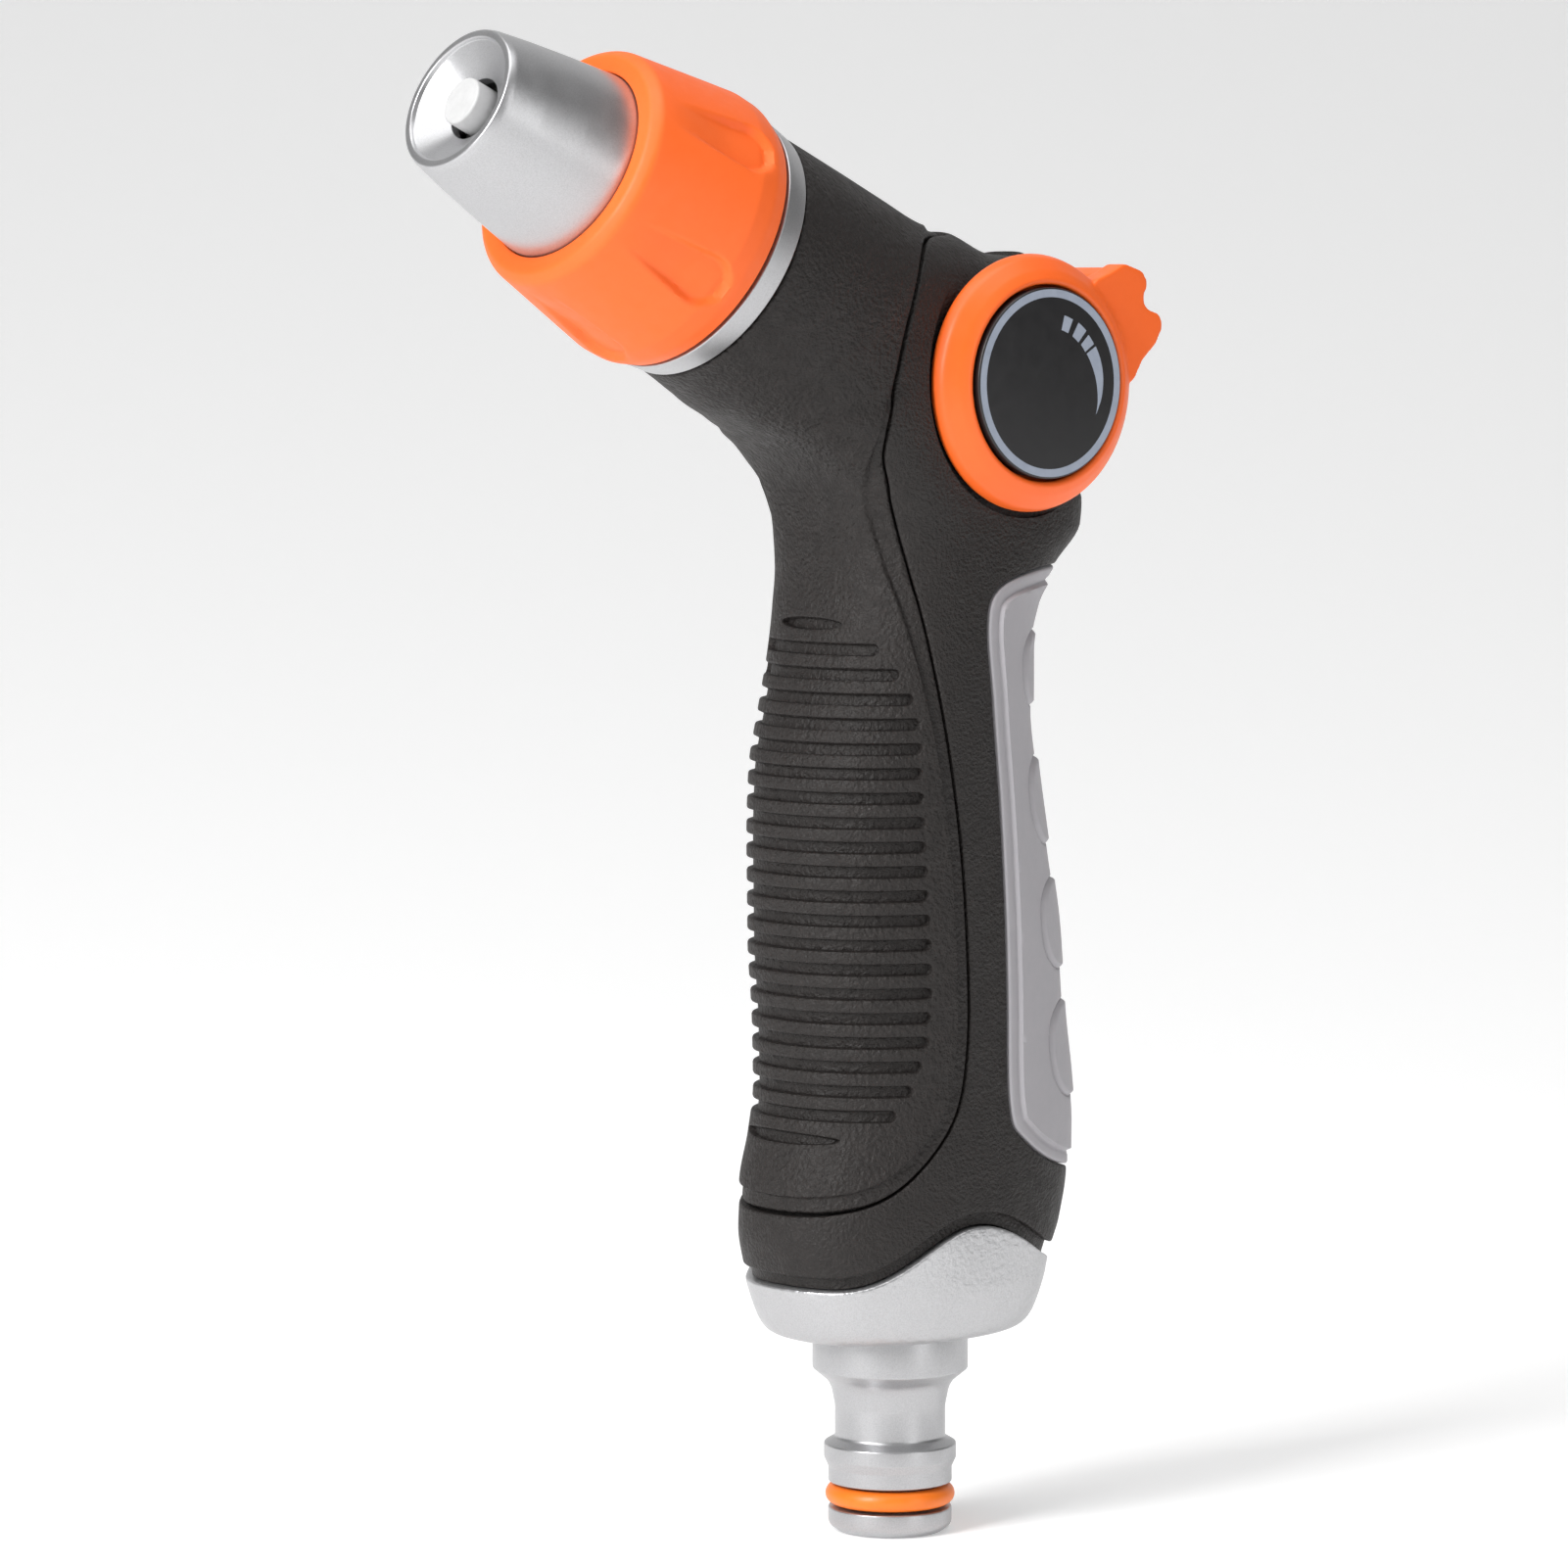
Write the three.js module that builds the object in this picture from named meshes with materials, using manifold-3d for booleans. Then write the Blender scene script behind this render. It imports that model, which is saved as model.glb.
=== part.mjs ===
// Hose spray nozzle with a thumb flow lever, a twist spray head and a quick-connect hose plug.
//
// Millimetres, +Z up. The origin is the centre of the hose plug's end face. The hose plug, the
// inlet tube and the grip stand along +Z, and the water leaves towards -X, tilted upwards.
// The nozzle is the same on both sides of the XZ plane. LEFT is the -Y side, RIGHT the +Y side.

import * as THREE from 'three';
import { LoftGeometry } from 'three/addons/geometries/LoftGeometry.js';
import { mergeVertices } from 'three/addons/utils/BufferGeometryUtils.js';
import Module from 'manifold-3d';

const wasm = await Module();
wasm.setup();

// ---------------------------------------------------------------- driving dimensions

const GAP = 0.35;                 // clearance between pieces that touch
const SKIN_GAP = 0.6;             // clearance under a moulded skin
const FINE = 32;                  // facets round a visible turned piece
const COARSE = 18;                // facets round an inner piece
const ACROSS = 60;                // longer than the nozzle is wide

const SPRAY_TILT = 25;            // degrees, spray axis above the horizontal
const SPRAY_FOOT = [-23.9, 161];  // x, z of station 0 on the spray axis
const SLEEVE_R = 16.8;            // round sleeve of the body at the spray head
const SLEEVE_END = 6.4;           // station where the sleeve ends and the collar begins

const PIVOT = [10.1, 147.3];      // x, z of the thumb lever's axis
const DRUM_R = 17.2;              // round back of the body that the lever's bridge sweeps over
const CHEEK_Y = 13.6;             // flat sides of the body beside the lever
const LEVER_R = 16.4;             // lever ring, outside
const LEVER_BORE_R = 12.4;        // recess for the cap
const LEVER_Y = 18.6;             // outer edge of the lever ring
const CAP_Y = 19;                 // outer face of the cap

const PLUG_R = 7.95;              // hose plug, the size of a standard garden quick connector
const PLUG_BORE_R = 4.2;
const COLLAR_R = 10;
const BELL_Z = 25.8;              // underside of the end bell

const TUBE_R = 7;                 // inlet tube
const TUBE_BORE_R = 4.8;
const BARREL_R = 9;               // outlet barrel that the spray head turns on
const BARREL_BORE_R = 5.2;
const ROTOR_R = 7.6;              // valve rotor
const ROTOR_Y = 8.3;              // half length of the rotor
const JOURNAL_R = 5;              // spindles that carry the lever
const HOUSING_R = 11.3;           // valve housing round the rotor
const HOUSING_Y = 11.4;           // half length of the valve housing

const LEVER_TRAVEL = 46;          // degrees from closed to fully open
const FLATS = 8;                  // across the flats that carry the lever
const HUB_Y = 15.05;              // outer face of the lever's hub
const PORT_R = 2.9;               // water ports of the valve
const VALVE_STATION = -36.6;      // valve centre, as a station on the spray axis
const TUBE_END = 12;              // inlet tube's end, from the valve centre
const BORE_FLOOR = 11.6;          // floors of the housing's two sockets, from the valve centre
const OUTLET_END = -6;            // end of the housing's outlet boss
const PLUG_SPIGOT_R = 8;          // threaded end of the plug inside the bell

const GRIP_SKIN = 1.5;            // thickness of the soft front grip
const INSERT_SKIN = 2.2;          // thickness of the grey back insert
const BODY_WALL = 4.2;            // from the outer surface to the inner cavity
const BODY_SLIMMER = 0.6;         // the hard body's sides lie this much below the soft grip
const BELL_SLIMMER = 0.4;
const BODY_LIFT = 1.8;            // open band between the bell and the body
const SKIRT_INSET = 3;            // the body's skirt inside the bell
const SKIRT_Z = 31.5;             // lower end of that skirt

// ---------------------------------------------------------------- solids

// Turns a closed three.js geometry into a manifold solid, with its faces pointing out.
function solid(geometry) {
  const bare = new THREE.BufferGeometry().copy(geometry);
  bare.deleteAttribute('normal');
  bare.deleteAttribute('uv');
  const merged = mergeVertices(bare, 1e-4);
  const xyz = merged.getAttribute('position').array;
  const faces = [];
  for (let i = 0; i < merged.index.count; i += 3) {
    const [a, b, c] = [0, 1, 2].map((k) => merged.index.getX(i + k));
    if (a !== b && b !== c && c !== a) faces.push([a, b, c]);
  }
  const corner = (n) => new THREE.Vector3().fromArray(xyz, 3 * n);
  let volume = 0;
  for (const [a, b, c] of faces) volume += corner(a).dot(corner(b).cross(corner(c)));
  const outward = volume < 0 ? faces.map(([a, b, c]) => [a, c, b]) : faces;
  return new wasm.Manifold(new wasm.Mesh({
    numProp: 3,
    vertProperties: Float32Array.from(xyz),
    triVerts: Uint32Array.from(outward.flat()),
  }));
}

function geometryOf(manifold) {
  const { vertProperties, triVerts } = manifold.getMesh();
  const geometry = new THREE.BufferGeometry();
  geometry.setAttribute('position', new THREE.BufferAttribute(new Float32Array(vertProperties), 3));
  geometry.setIndex(new THREE.BufferAttribute(new Uint32Array(triVerts), 1));
  return geometry;
}

// A turned piece about the local Y axis: points are [radius, station] and close on themselves.
function turned(points, segments = COARSE) {
  const profile = [...points, points[0]].map(([r, y]) => new THREE.Vector2(r, y));
  return new THREE.LatheGeometry(profile, segments);
}

// A solid cylinder about the local Y axis between two stations.
function rod(radius, from, to, segments = COARSE) {
  const cylinder = new THREE.CylinderGeometry(radius, radius, to - from, segments);
  return cylinder.translate(0, (from + to) / 2, 0);
}

function box(width, depth, height) {
  return new THREE.BoxGeometry(width, depth, height);
}

// A ring of round section about the local Y axis.
function oRing(radius, section, station) {
  const ring = new THREE.TorusGeometry(radius, section / 2, 8, 20);
  return ring.rotateX(Math.PI / 2).translate(0, station, 0);
}

// A side-view outline of [x, z] points, extruded along Y between two half widths.
function sideSlab(points, fromY, toY) {
  const outline = new THREE.Shape(points.map(([x, z]) => new THREE.Vector2(x, z)));
  const slab = new THREE.ExtrudeGeometry(outline, { depth: toY - fromY, bevelEnabled: false });
  return slab.rotateX(Math.PI / 2).translate(0, toY, 0);
}

function smoothLine(points, steps) {
  const curve = new THREE.SplineCurve(points.map(([x, z]) => new THREE.Vector2(x, z)));
  return curve.getPoints(steps).map((p) => [p.x, p.y]);
}

// ---------------------------------------------------------------- frames

const tilt = THREE.MathUtils.degToRad(SPRAY_TILT);
const sprayDirection = new THREE.Vector3(-Math.cos(tilt), 0, Math.sin(tilt));
const sprayUp = new THREE.Vector3(Math.sin(tilt), 0, Math.cos(tilt));
const localY = new THREE.Vector3(0, 1, 0);

// Matrix that lays a turned piece's Y axis along a direction, from a point in the XZ plane.
function along(direction, [x, z]) {
  const turn = new THREE.Quaternion().setFromUnitVectors(localY, direction);
  return new THREE.Matrix4().compose(new THREE.Vector3(x, 0, z), turn, new THREE.Vector3(1, 1, 1));
}

const sprayFrame = along(sprayDirection, SPRAY_FOOT);
const plugFrame = along(new THREE.Vector3(0, 0, 1), [0, 0]);
const pivotFrame = new THREE.Matrix4().makeTranslation(PIVOT[0], 0, PIVOT[1]);

// The inlet reaches the valve from below and a little forward.
const inletDirection = new THREE.Vector3(-5.1, 0, -19.3).normalize();
const inletFrame = along(inletDirection, PIVOT);

function placed(geometry, frame) {
  return geometry.clone().applyMatrix4(frame);
}

// ---------------------------------------------------------------- outer form of the body

// A point on the sleeve's outline, above (+) or below (-) the spray axis.
function sleeve(station, height) {
  const point = sprayDirection.clone().multiplyScalar(station).addScaledVector(sprayUp, height);
  return [SPRAY_FOOT[0] + point.x, SPRAY_FOOT[1] + point.z];
}

function onDrum(degrees, radius = DRUM_R) {
  const angle = THREE.MathUtils.degToRad(degrees);
  return [PIVOT[0] + radius * Math.cos(angle), PIVOT[1] + radius * Math.sin(angle)];
}

// Cross-sections from the hose end to the spray head. Each has its front and back point in the
// side view, its half width near the front and near the back, and its squareness (2 is an
// ellipse). They fan out round the lever's axis, so the back follows the shoulder, the drum,
// the plateau and the slope up to the sleeve.
const SECTIONS = [
  [[-18.6, 28], [20.6, 28], 15.6, 15.6, 2.3],
  [[-19.6, 34], [21.6, 34], 16.0, 16.0, 2.3],
  [[-20.8, 40], [24.0, 40], 16.4, 16.4, 2.3],
  [[-20.4, 46], [25.2, 46], 16.4, 16.4, 2.3],
  [[-18.9, 52], [25.2, 52], 16.3, 16.3, 2.3],
  [[-18.0, 58], [24.6, 58], 16.2, 16.2, 2.3],
  [[-18.1, 66], [23.4, 66], 16.2, 16.2, 2.3],
  [[-18.8, 77], [22.4, 77], 16.2, 16.2, 2.3],
  [[-18.8, 88], [20.4, 88], 16.2, 16.0, 2.3],
  [[-18.3, 98], [18.5, 98], 16.2, 15.8, 2.3],
  [[-16.4, 106], [17.3, 106], 16.2, 15.6, 2.3],
  [[-14.7, 113], [17.3, 113], 16.2, 15.3, 2.3],
  [[-13.6, 119], [18.6, 119], 16.2, 15.0, 2.4],
  [[-13.0, 124], [22.2, 124.2], 16.2, 14.8, 2.6],
  [[-13.1, 128.5], [26.2, 129.3], 16.2, 14.5, 3.0],
  [[-13.6, 132.4], [25.9, 132.6], 16.3, 14.3, 3.4],
  [[-14.0, 134.1], onDrum(-40), 16.4, 14.2, 3.6],
  [[-14.8, 135.7], onDrum(-18), 16.5, 14.2, 3.8],
  [[-16.3, 137.3], onDrum(8), 16.6, 14.2, 3.8],
  [[-18.4, 139.0], onDrum(32), 16.7, 14.2, 3.6],
  [[-20.3, 140.1], onDrum(50), 16.7, 14.2, 3.4],
  [[-22.1, 140.9], [22.3, 162.7], 16.8, 14.2, 2.9],
  [[-24.6, 141.9], [12.6, 163.9], 16.8, 14.2, 2.5],
  [[-27.1, 142.9], [6.6, 166.5], 16.8, 14.8, 2.2],
  [[-29.7, 144.1], sleeve(-20, SLEEVE_R), 16.8, 15.8, 2.1],
  [[-32.1, 145.5], sleeve(-12, SLEEVE_R), 16.8, 16.4, 2.0],
  [sleeve(3.7, -17.1), sleeve(-3, SLEEVE_R), 16.8, 16.8, 2.0],
  [sleeve(SLEEVE_END, -SLEEVE_R), sleeve(SLEEVE_END, SLEEVE_R), 16.8, 16.8, 2.0],
];

// One cross-section as a ring of points, drawn in by an inset all round.
function ring([front, back, frontWidth, backWidth, squareness], inset, slimmer, points) {
  const middle = new THREE.Vector2((front[0] + back[0]) / 2, (front[1] + back[1]) / 2);
  const half = new THREE.Vector2((back[0] - front[0]) / 2, (back[1] - front[1]) / 2);
  const depth = half.length() - inset;
  const direction = half.clone().normalize();
  const bulge = (value) => Math.sign(value) * Math.abs(value) ** (2 / squareness);
  const round = [];
  for (let k = 0; k < points; k += 1) {
    const angle = (2 * Math.PI * k) / points;
    const across = bulge(Math.cos(angle));
    const blend = THREE.MathUtils.smoothstep(across, -1, 1);
    const width = THREE.MathUtils.lerp(frontWidth, backWidth, blend) - inset - slimmer;
    round.push(new THREE.Vector3(
      middle.x + direction.x * depth * across,
      width * bulge(Math.sin(angle)),
      middle.y + direction.y * depth * across,
    ));
  }
  return round;
}

// A closed loft through the body's sections. The ends can run on, to cut clean through, and an
// inner skin needs only every second section.
function skin(inset, { slimmer = 0, sections = SECTIONS, runOut = 0, inner = false } = {}) {
  const chosen = sections.filter((_, i) => !inner || i % 2 === 0 || i === sections.length - 1);
  const rings = chosen.map((section) => ring(section, inset, slimmer, inner ? 18 : 24));
  rings[0].forEach((point) => { point.z -= runOut; });
  rings[rings.length - 1].forEach((point) => point.addScaledVector(sprayDirection, runOut));
  return solid(new LoftGeometry(rings, { capStart: true, capEnd: true }));
}

// Side-view line where the soft front grip ends, from above the sleeve down to the front.
const GRIP_LINE = smoothLine([
  [9, 169.5], [6, 166.8], [-2.6, 165.7], [-8.2, 160.2], [-11.9, 150.1], [-13.2, 140], [-11.7, 134.4],
  [-8.6, 124.9], [-5.8, 112.3], [-2.2, 92], [-0.8, 76], [-0.7, 63.6], [-2.9, 54.4], [-10.4, 46.6],
  [-18.2, 43.6], [-28, 43.2],
], 44);

// Region in front of the grip line, moved back or forward by a margin.
function gripRegion(margin) {
  const line = GRIP_LINE.map(([x, z], i) => {
    const before = GRIP_LINE[Math.max(i - 1, 0)];
    const after = GRIP_LINE[Math.min(i + 1, GRIP_LINE.length - 1)];
    const run = new THREE.Vector2(after[0] - before[0], after[1] - before[1]).normalize();
    return [x - run.y * margin, z + run.x * margin];
  });
  const outline = [...line, [-80, 43.2 - margin], [-80, 220], [9 + margin, 220]];
  return solid(sideSlab(outline, -ACROSS / 2, ACROSS / 2));
}

// Side-view outline of the grey insert on the back of the grip.
function insertRegion(margin) {
  const edge = smoothLine([
    [32, 123.6], [20, 123.8], [12.3, 123.4], [5.4, 121.4], [3.4, 117], [4.3, 106.7], [5.6, 92],
    [6.4, 72], [6.8, 56], [9.4, 51.4], [17.3, 47.4], [32, 45],
  ], 30);
  const line = edge.map(([x, z], i) => {
    const before = edge[Math.max(i - 1, 0)];
    const after = edge[Math.min(i + 1, edge.length - 1)];
    const run = new THREE.Vector2(after[0] - before[0], after[1] - before[1]).normalize();
    return [x + run.y * margin, z - run.x * margin];
  });
  return solid(sideSlab(line, -ACROSS / 2, ACROSS / 2));
}

// The bell's upper edge is a wave: high beside the grip, low at the front and less low at the back.
const WAVE_PEAK_Z = 40.8;
const WAVE_FRONT_Z = 33.3;
const WAVE_BACK_Z = 34.6;
const WAVE_X = 1.5;
const WAVE_HALF_LENGTH = 19;

function waveHeight(x) {
  const phase = Math.min(Math.abs(x - WAVE_X) / WAVE_HALF_LENGTH, 1);
  const low = x < WAVE_X ? WAVE_FRONT_Z : WAVE_BACK_Z;
  return low + ((WAVE_PEAK_Z - low) * (1 + Math.cos(Math.PI * phase))) / 2;
}

function waveSlab(lift, farZ) {
  const crest = [];
  for (let x = -30; x <= 30; x += 2.5) crest.push([x, waveHeight(x) + lift]);
  return solid(sideSlab([...crest, [30, farZ], [-30, farZ]], -ACROSS / 2, ACROSS / 2));
}

// ---------------------------------------------------------------- pieces of the body

const bodyCut = (frame, radius, from, to) => solid(placed(rod(radius, from, to, 24), frame));

// Inner cavity: the hollow of the grip and clearance round the valve and the outlet.
function cavity() {
  return skin(BODY_WALL, { runOut: 6, inner: true })
    .add(bodyCut(inletFrame, 9.8, 0, 27))
    .add(bodyCut(pivotFrame, HOUSING_R + 0.5, -HOUSING_Y - GAP, HOUSING_Y + GAP))
    .add(bodyCut(sprayFrame, HOUSING_R + 0.5, -34, 12));
}

// Hard body: full size behind the grip line, thinner under the soft grip, with a skirt that
// goes down inside the bell, flat seats for the lever rings and a recess for the insert.
function rearBody() {
  const behindGrip = skin(0, { slimmer: BODY_SLIMMER }).subtract(gripRegion(GAP));
  const skirt = skin(SKIRT_INSET, { sections: SECTIONS.slice(0, 4), inner: true })
    .intersect(solid(box(ACROSS, ACROSS, 20).translate(0, 0, SKIRT_Z + 10)));
  const insertRecess = skin(-2, { inner: true })
    .subtract(skin(INSERT_SKIN + SKIN_GAP, { inner: true }))
    .intersect(insertRegion(GAP));
  const seatDepth = ACROSS / 2 - CHEEK_Y;
  return behindGrip.add(skin(GRIP_SKIN + SKIN_GAP, { inner: true }))
    .intersect(waveSlab(BODY_LIFT, 240))
    .add(skirt)
    .subtract(insertRecess)
    .subtract(bodyCut(pivotFrame, LEVER_R + 0.7, CHEEK_Y, CHEEK_Y + seatDepth))
    .subtract(bodyCut(pivotFrame, LEVER_R + 0.7, -CHEEK_Y - seatDepth, -CHEEK_Y))
    .subtract(bodyCut(pivotFrame, JOURNAL_R + GAP, -ACROSS / 2, ACROSS / 2))
    .subtract(cavity());
}

function frontGrip() {
  return skin(0).subtract(skin(GRIP_SKIN, { runOut: 6, inner: true })).intersect(gripRegion(0));
}

function gripInsert() {
  return skin(0, { slimmer: BODY_SLIMMER })
    .subtract(skin(INSERT_SKIN, { runOut: 6, inner: true }))
    .intersect(insertRegion(0));
}

// Bell: closes in towards its flat underside. Each row is a height and a share of full size.
const BELL_CLOSING = [[BELL_Z, 0.7], [26.2, 0.824], [27.2, 0.888], [29, 0.936], [30.8, 0.968], [33, 1]];
const BELL_FULL = [[-19.4, 33], [21.4, 33], 15.9, 15.9, 2.3];
const BELL_WALL = 1.8;
const BELL_FLOOR_Z = 27.6;

function bellSection(height, share) {
  const [front, back, width, , squareness] = BELL_FULL;
  const middle = (front[0] + back[0]) / 2;
  const half = ((back[0] - front[0]) / 2) * share;
  return [[middle - half, height], [middle + half, height], width * share, width * share, squareness];
}

function endBell() {
  const sections = [...BELL_CLOSING.map(([z, share]) => bellSection(z, share)), ...SECTIONS.slice(1, 4)];
  const loft = (inset) => skin(inset, { slimmer: BELL_SLIMMER, sections });
  const aboveFloor = solid(box(ACROSS, ACROSS, 40).translate(0, 0, BELL_FLOOR_Z + 20));
  return loft(0)
    .intersect(waveSlab(0, 0))
    .subtract(loft(BELL_WALL).intersect(aboveFloor))
    .subtract(solid(placed(rod(PLUG_SPIGOT_R + GAP, 0, 40, FINE), plugFrame)));
}

// ---------------------------------------------------------------- water inlet

const PLUG_PROFILE = [
  [PLUG_BORE_R, 0.4], [PLUG_BORE_R + 0.4, 0], [6.75, 0], [7.6, 0.35], [PLUG_R, 1.2], [PLUG_R, 3.1],
  [5.3, 3.1], [5.3, 6.35], [PLUG_R, 6.35], [PLUG_R, 8.6], [8.5, 9.5], [8.5, 11.35], [7.1, 12.15],
  [7.1, 15.9], [7.3, 17.6], [7.9, 19], [8.6, 19.9], [COLLAR_R, 21.1], [COLLAR_R, BELL_Z - GAP],
  [PLUG_SPIGOT_R, BELL_Z - GAP], [PLUG_SPIGOT_R, 37.5], [PLUG_BORE_R, 37.5],
];

// A point on the inlet axis, at a distance from the valve centre.
function valvePoint(distance) {
  return new THREE.Vector3(PIVOT[0], 0, PIVOT[1]).addScaledVector(inletDirection, distance);
}

// The inlet tube screws onto the plug, stands in the grip and bends to the valve.
function inletTube() {
  const route = new THREE.CatmullRomCurve3([
    new THREE.Vector3(0, 0, 39.8), new THREE.Vector3(0, 0, 70), new THREE.Vector3(0, 0, 97),
    new THREE.Vector3(0.7, 0, 108), new THREE.Vector3(2.95, 0, 120.2), valvePoint(TUBE_END),
  ]);
  const pipe = (radius) => {
    const section = new THREE.Shape().absarc(0, 0, radius, 0, 2 * Math.PI);
    return solid(new THREE.ExtrudeGeometry(section, { steps: 10, extrudePath: route, curveSegments: 8 }));
  };
  const socket = turned([
    [TUBE_BORE_R, 39.8], [PLUG_SPIGOT_R + GAP, 39.8], [PLUG_SPIGOT_R + GAP, 28], [10.8, 28], [10.8, 41.5],
    [TUBE_BORE_R, 41.5],
  ], FINE);
  const bore = solid(placed(rod(TUBE_BORE_R, TUBE_END - 4, TUBE_END + 1), inletFrame));
  return pipe(TUBE_R)
    .add(solid(placed(socket, plugFrame)))
    .subtract(pipe(TUBE_BORE_R))
    .subtract(bore)
    .subtract(solid(placed(rod(TUBE_BORE_R, 39, 44), plugFrame)));
}

// ---------------------------------------------------------------- flow valve

const COVER_R = 9.25;
const SEAT_R = 5.2;
const GLAND_R = 7.2;
const JOURNAL_BORE_R = JOURNAL_R + GAP;

function valveHousing() {
  const cut = (frame, radius, from, to) => solid(placed(rod(radius, from, to, 22), frame));
  return cut(pivotFrame, HOUSING_R, -HOUSING_Y, HOUSING_Y)
    .add(cut(sprayFrame, HOUSING_R, VALVE_STATION, OUTLET_END))
    .add(cut(inletFrame, 9.4, 4, 26))
    .subtract(cut(pivotFrame, ROTOR_R + 0.4, -ROTOR_Y - GAP, 12))
    .subtract(cut(pivotFrame, COVER_R + GAP, ROTOR_Y, 12))
    .subtract(cut(pivotFrame, GLAND_R, -10.75, 0))
    .subtract(cut(pivotFrame, JOURNAL_BORE_R, -12, 0))
    .subtract(cut(inletFrame, PORT_R, 0, 12))
    .subtract(cut(inletFrame, SEAT_R + GAP, 0, 10))
    .subtract(cut(inletFrame, TUBE_R + 0.45, BORE_FLOOR, 27))
    .subtract(cut(inletFrame, 8.8, 16.8, 19.2))
    .subtract(cut(sprayFrame, PORT_R, VALVE_STATION, VALVE_STATION + 12))
    .subtract(cut(sprayFrame, SEAT_R + GAP, VALVE_STATION, VALVE_STATION + 10))
    .subtract(cut(sprayFrame, BARREL_R + GAP, VALVE_STATION + BORE_FLOOR, 0))
    .subtract(cut(sprayFrame, 10.75, -15.2, -12.8));
}

// Seat: a short rubber ring whose inner face is hollowed to fit round the rotor.
function valveSeat(frame, centre) {
  const [near, far] = [centre + 6, centre + 9.7];
  const ring = turned([[3.2, near], [SEAT_R, near], [SEAT_R, far], [3.2, far]]);
  return solid(placed(ring, frame)).subtract(bodyCut(pivotFrame, ROTOR_R + 0.3, -20, 20));
}

// Rotor: a cylinder with a two-way port, turned away from both seats while the lever is up.
function valveRotor() {
  const port = (direction) => {
    const angle = THREE.MathUtils.degToRad(direction + LEVER_TRAVEL);
    const heading = new THREE.Vector3(Math.cos(angle), 0, Math.sin(angle));
    return solid(placed(rod(PORT_R, 0, 9), along(heading, [0, 0])));
  };
  const inletAngle = THREE.MathUtils.radToDeg(Math.atan2(inletDirection.z, inletDirection.x));
  return solid(rod(ROTOR_R, -ROTOR_Y, ROTOR_Y, 24))
    .subtract(port(inletAngle))
    .subtract(port(180 - SPRAY_TILT))
    .subtract(solid(box(9, 4, 3.7).translate(0, ROTOR_Y - 1, 0)))
    .subtract(solid(box(9, 4, 3.7).translate(0, 1 - ROTOR_Y, 0)));
}

// Spindle on one side: a tongue in the rotor, a journal, flats in the lever hub and a flange.
function spindle() {
  const flats = solid(rod(JOURNAL_R, 13.5, 15.4)).intersect(solid(box(FLATS, 40, 12)));
  return solid(rod(JOURNAL_R, 8.65, 13.6))
    .add(flats)
    .add(solid(rod(6.8, 15.35, 16.05)))
    .add(solid(box(8.3, 3.2, 3).translate(0, 7.4, 0)))
    .subtract(solid(rod(1.55, 0, 20, 12)));
}

// ---------------------------------------------------------------- thumb lever

const RING_PROFILE = [
  [3, CHEEK_Y + GAP], [15.9, CHEEK_Y + GAP], [LEVER_R, 14.5], [LEVER_R, 15.3], [15.9, 16.3],
  [14.6, 17.7], [13.5, 18.4], [12.8, LEVER_Y], [LEVER_BORE_R, 18.3], [LEVER_BORE_R, HUB_Y], [3, HUB_Y],
];

// Side outline of the thumb tab, as [degrees, radius] round the lever's axis: two ridges with a
// valley between them, and on the cheeks a web that runs down into the ring.
const TAB_RIDGES = [
  [14, 20.5], [18.6, 22.2], [23, 22.2], [25.4, 21], [28, 20.3], [31.8, 20.7], [34, 22.3], [39, 22.4],
];
const TAB_WEB = [[0, 15.9], [8.5, 17.6], ...TAB_RIDGES, [46.8, 20.7], [49.4, 18.4], [54, 16.1]];
const TAB_BRIDGE = [[9.5, 17.6], ...TAB_RIDGES, [44.5, 20.9], [47.3, 18.6], [47.5, 17.6]];

function thumbLever() {
  const ringOn = (side) => solid(turned(RING_PROFILE.map(([r, y]) => [r, side * y]), FINE));
  const fromPivot = ([degrees, radius]) => {
    const angle = THREE.MathUtils.degToRad(degrees);
    return [radius * Math.cos(angle), radius * Math.sin(angle)];
  };
  const webOn = (side) => {
    const inner = [[54, 13.2], [33, 13.2], [0, 13.2]];
    const outline = [...TAB_WEB, ...inner].map(fromPivot);
    const [near, far] = [CHEEK_Y + GAP, 17].map((y) => side * y);
    return solid(sideSlab(outline, Math.min(near, far), Math.max(near, far)));
  };
  const innerArc = [38, 28, 18].map((degrees) => [degrees, 17.6]);
  const bridge = solid(sideSlab([...TAB_BRIDGE, ...innerArc].map(fromPivot), -14.3, 14.3));
  const hubHole = solid(rod(JOURNAL_R + GAP, -30, 30))
    .intersect(solid(box(FLATS + 2 * GAP, ACROSS, 12)));
  return ringOn(-1).add(ringOn(1)).add(webOn(-1)).add(webOn(1)).add(bridge).subtract(hubHole);
}

const CAP_PROFILE = [
  [0, 17.75], [10.4, 17.75], [10.4, 15.6], [11.7, 15.6], [11.7, 17.75], [12.05, 17.9], [12.05, 18.7],
  [11.8, CAP_Y], [0, CAP_Y],
];
const SCREW_PROFILE = [[0, 6.5], [1.2, 6.5], [1.2, 16.4], [2.8, 16.4], [2.8, 17], [2.2, 17.4], [0, 17.4]];

// ---------------------------------------------------------------- spray head

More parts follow.
